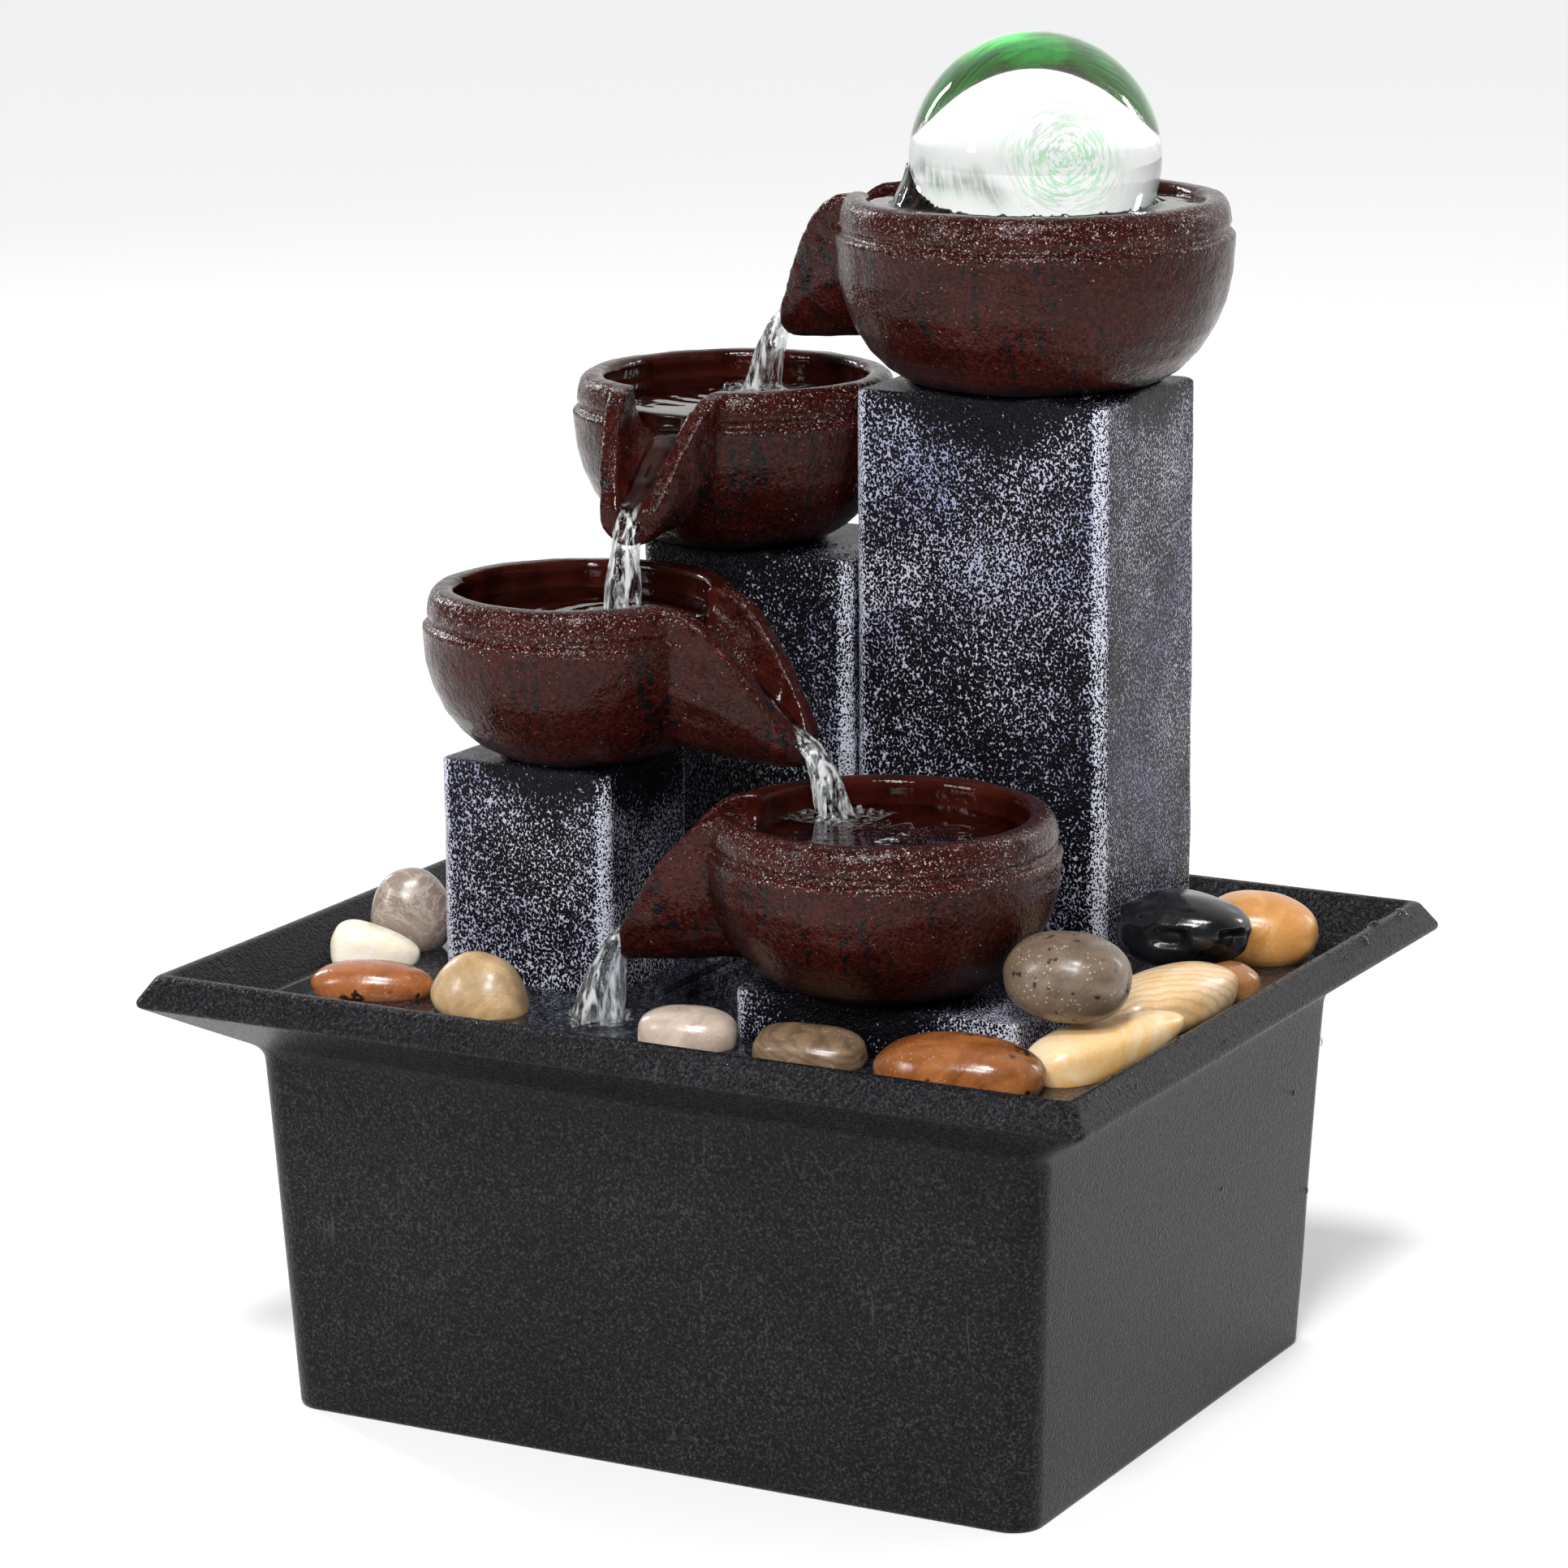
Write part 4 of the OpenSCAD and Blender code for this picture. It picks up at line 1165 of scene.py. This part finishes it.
def make_pool(landing):
    """Water in the basin, up to just over the tray."""
    tray_low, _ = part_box("tray")
    level = pool_level()
    stations = basin_stations([
        (-13.5 * MM, 4 * MM, 2.6 * MM),
        (-4.6 * MM, 4.2 * MM, tray_low.z - 0.4 * MM),
        (-1.6 * MM, 5 * MM, tray_low.z - 0.3 * MM),
        (-1.6 * MM, 5 * MM, tray_low.z + 2.8 * MM),
        (8.6 * MM, 4 * MM, level + 0.5 * MM),
        (7.0 * MM, 4 * MM, level + 0.1 * MM),
        (5.0 * MM, 4 * MM, level),
    ])
    shell = [rounded_rectangle(*s, 8, 20) for s in stations]
    rings = 60
    edge = np.array(shell[-1])
    middle = np.array([landing[0], landing[1], level])
    for k in range(1, rings):
        shell.append([tuple(middle + (p - middle) * (1 - k / rings)) for p in edge])
    water = loft("basin_water", shell)
    co = points_of(water)
    surface = bell(co[:, 2], level, 0.05 * MM)
    co[:, 2] += surface * landing_rings(co, landing, 7 * MM, 0.45 * MM)
    co[:, 2] += surface * noise(co, 12 * MM, 83, 2) * 0.12 * MM
    set_points(water, co)
    paint(water, "fall", np.zeros(len(co)))
    wear(water, water_paint("pool_water", (0.8, 0.86, 0.9), 0.08))
    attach(water, "basin")
    return water


# Ball and lamp

def ball_paint():
    """Clear glass with painted light and shade: green arcs about one point of it, a green glow near
    its crown, and a dark drift low on the left.
    """
    p = Paint("ball_glass", transmission=1.0, ior=1.5, roughness=0.0)
    swirl = p.attribute("swirl", "Vector")
    arcs = p.noise(1.0, 3.0, 0.65, 0.0, swirl)
    near = p.attribute("near")
    crown = p.attribute("crown")
    painted_dark_drift = p.attribute("painted_dark_drift")
    # painted light: green and white arcs round the swirl point, on the side facing the front
    lines = p.times(p.fade(arcs, 0.46, 0.57, 0, 0.95), near)
    lines = p.calc("MAXIMUM", lines, p.times(p.fade(arcs, 0.3, 0.6, 0.45, 1.0), painted_dark_drift))
    green = p.fade(p.noise(120, 2), 0.4, 0.6)
    tint = p.blend(green, (0.4, 0.48, 0.42), (0.2, 0.72, 0.28))
    # painted shade: the dark drift tints the glass dark grey
    tint = p.blend(painted_dark_drift, tint, (0.13, 0.16, 0.14))
    # painted glow: the glass itself gives off green light near its crown, though it is no lamp
    glow = p.times(p.fade(arcs, 0.35, 0.6, 0.25, 1), crown)
    haze = p.noise(90, 3)
    p.set(
        color=p.blend(lines, (0.985, 1.0, 0.99), tint),
        glow=(0.03, 1.0, 0.1),
        glow_strength=p.times(glow, 1.1),
        normal=p.bump(haze, 0.02, 0.2 * MM),
    )
    return p


def make_ball():
    low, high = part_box("ball")
    middle = (low + high) / 2
    radius = (high.z - low.z) / 2
    obj = spheres("glass_ball", 7, [(radius, Matrix())])
    obj.location = middle
    front = vec(*toward(CAMERA_AZIMUTH, CAMERA_ELEVATION))
    right = vec(*toward(CAMERA_AZIMUTH + 90, 0))
    up = np.cross(front, right)
    co = points_of(obj)
    u, v, w = co @ right, co @ up, co @ front
    # Painted light and shade on the side facing the front: arcs round a point right of the middle,
    # a dark drift low on the left, and a glow round the crown.
    facing = smoothstep(w, 0, 3 * MM)
    x, y = u - 5 * MM, v + 2.5 * MM
    r = np.hypot(x, y)
    spin = np.stack([x / (r + 1e-6) * 2.6, y / (r + 1e-6) * 2.6, r / (0.5 * MM)], 1)
    paint(obj, "swirl", spin)
    paint(obj, "near", facing * (1 - smoothstep(r, 6 * MM, 17 * MM)))
    # painted shade: the dark drift
    drift = v + 3.5 * MM + 0.36 * (u + 24 * MM) + noise(co, 5 * MM, 91, 2) * 2 * MM
    paint(obj, "painted_dark_drift", facing * bell(drift, 0, 3.2 * MM) * smoothstep(-u, 3 * MM, 11 * MM))
    # painted glow: on the top left edge, a short arc on the right and the shoulders
    top_left = bell(u, -7 * MM, 7 * MM) * smoothstep(np.hypot(u, v), 21 * MM, 24.5 * MM) * (v > 0)
    right_arc = bell(u, 14 * MM, 4 * MM) * bell(np.hypot(u, v), 22.5 * MM, 1.2 * MM) * (v > 0)
    shoulder = 0.16 * smoothstep(np.hypot(u, v), 15 * MM, 20 * MM) * smoothstep(v, 3 * MM, 9 * MM)
    paint(obj, "crown", facing * np.maximum(np.maximum(top_left, 0.3 * right_arc), shoulder))
    wear(obj, ball_paint())
    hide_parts("ball")
    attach(obj, "ball")
    return obj


def dress_cad_nodes():
    """Materials of the CAD nodes that are shown as they are."""
    black = moulded("pump_plastic", (0.018, 0.018, 0.02), 0.4)
    rubber = moulded("lead_rubber", (0.014, 0.014, 0.015), 0.55, 1400, 0.04)
    cups = moulded("cup_rubber", (0.07, 0.07, 0.075), 0.5)
    white = moulded("white_plastic", (0.78, 0.78, 0.77), 0.35)
    orange = moulded("dial_plastic", (0.55, 0.15, 0.03), 0.35)
    magnet = moulded("impeller_plastic", (0.05, 0.055, 0.07), 0.4)
    clear = moulded("clear_plastic", (0.9, 0.93, 0.94), 0.12, transmission=1.0, ior=1.45)
    tube = moulded("clear_tube", (0.8, 0.85, 0.86), 0.22, transmission=1.0, ior=1.42)
    ceramic = moulded("shaft_ceramic", (0.8, 0.78, 0.74), 0.3, 2000, 0.02)
    stator = Paint("stator_steel", metallic=0.7, roughness=0.45)
    plates = stator.waves(420, 0.4, 1)
    stator.set(
        color=stator.blend(stator.fade(plates, 0.3, 0.7), (0.2, 0.12, 0.07), (0.38, 0.26, 0.16)),
        normal=stator.bump(plates, 0.5, 0.2 * MM),
    )
    board = Paint("circuit_board", coat=0.3)
    tracks = board.cells(500)
    board.set(
        color=board.blend(board.fade(tracks, 0.3, 0.5), (0.02, 0.16, 0.06), (0.03, 0.1, 0.04)),
        roughness=board.fade(tracks, 0.2, 0.6, 0.3, 0.5),
        normal=board.bump(tracks, 0.3, 0.1 * MM),
    )
    lens = moulded("lens_plastic", (0.85, 0.98, 0.88), 0.2, transmission=0.4)
    lens.set(glow=(0.04, 1.0, 0.12), glow_strength=14.0)
    tray = Paint("tray_resin", specular=0.45)
    worms = tray.noise(950, 2.2, 0.55, 0.35)
    cover = tray.fade(worms, 0.55, 0.6)
    tray.set(
        color=tray.blend(cover, (0.012, 0.013, 0.018), (0.16, 0.17, 0.22)),
        roughness=tray.fade(cover, 0, 1, 0.35, 0.5),
        normal=tray.bump(worms, 0.6, 0.3 * MM),
    )
    looks = {
        "tray": tray, "tray_legs": tray, "ball_seat": clear, "lamp_housing": white,
        "lamp_board": board, "lamp_lens": lens, "lamp_lead": rubber, "lamp_plug": rubber,
        "lead_grommet": rubber, "riser_tube": tube, "pump_housing": black, "pump_stator": stator,
        "pump_cover": black, "pump_shaft": ceramic, "impeller": magnet, "intake_strainer": black,
        "flow_dial": orange, "suction_cups": cups, "cord_gland": rubber,
    }
    for node, look in looks.items():
        wear(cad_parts[node], look)


make_camera()
make_studio()
dress_cad_nodes()
basin = make_basin()
bowls = {name: Bowl(name) for name in BOWLS}
enamel = bowl_paint()
castings = {}
for name in BOWLS:
    castings[name] = tree_of(make_bowl(bowls[name], enamel))
sponge = sponge_paint("sponged_resin", (0.27, 0.27, 0.41), (0.5, 0.5, 0.58))
neighbours = {"column_tall": bowls["bowl_front"], "column_rear": bowls["bowl_left"]}
columns = {
    node: make_column(node, bowls[name], neighbours.get(node), sponge)
    for node, name in zip(COLUMNS, BOWLS)
}
for seed, (name, known) in enumerate(PEBBLES.items()):
    shape = {key: value for key, value in known.items() if key in SHAPE_FACTS}
    look = {key: value for key, value in known.items() if key not in SHAPE_FACTS}
    finish = stone_paint("pebble_" + name + "_skin", turn=0.3 * seed, **look)
    make_pebble("pebble_" + name, finish, seed=seed, **shape)
make_ball()
landings = make_cascade(bowls, castings)
make_pool(landings["bowl_front"])
make_splashes(basin, columns["column_rear"])
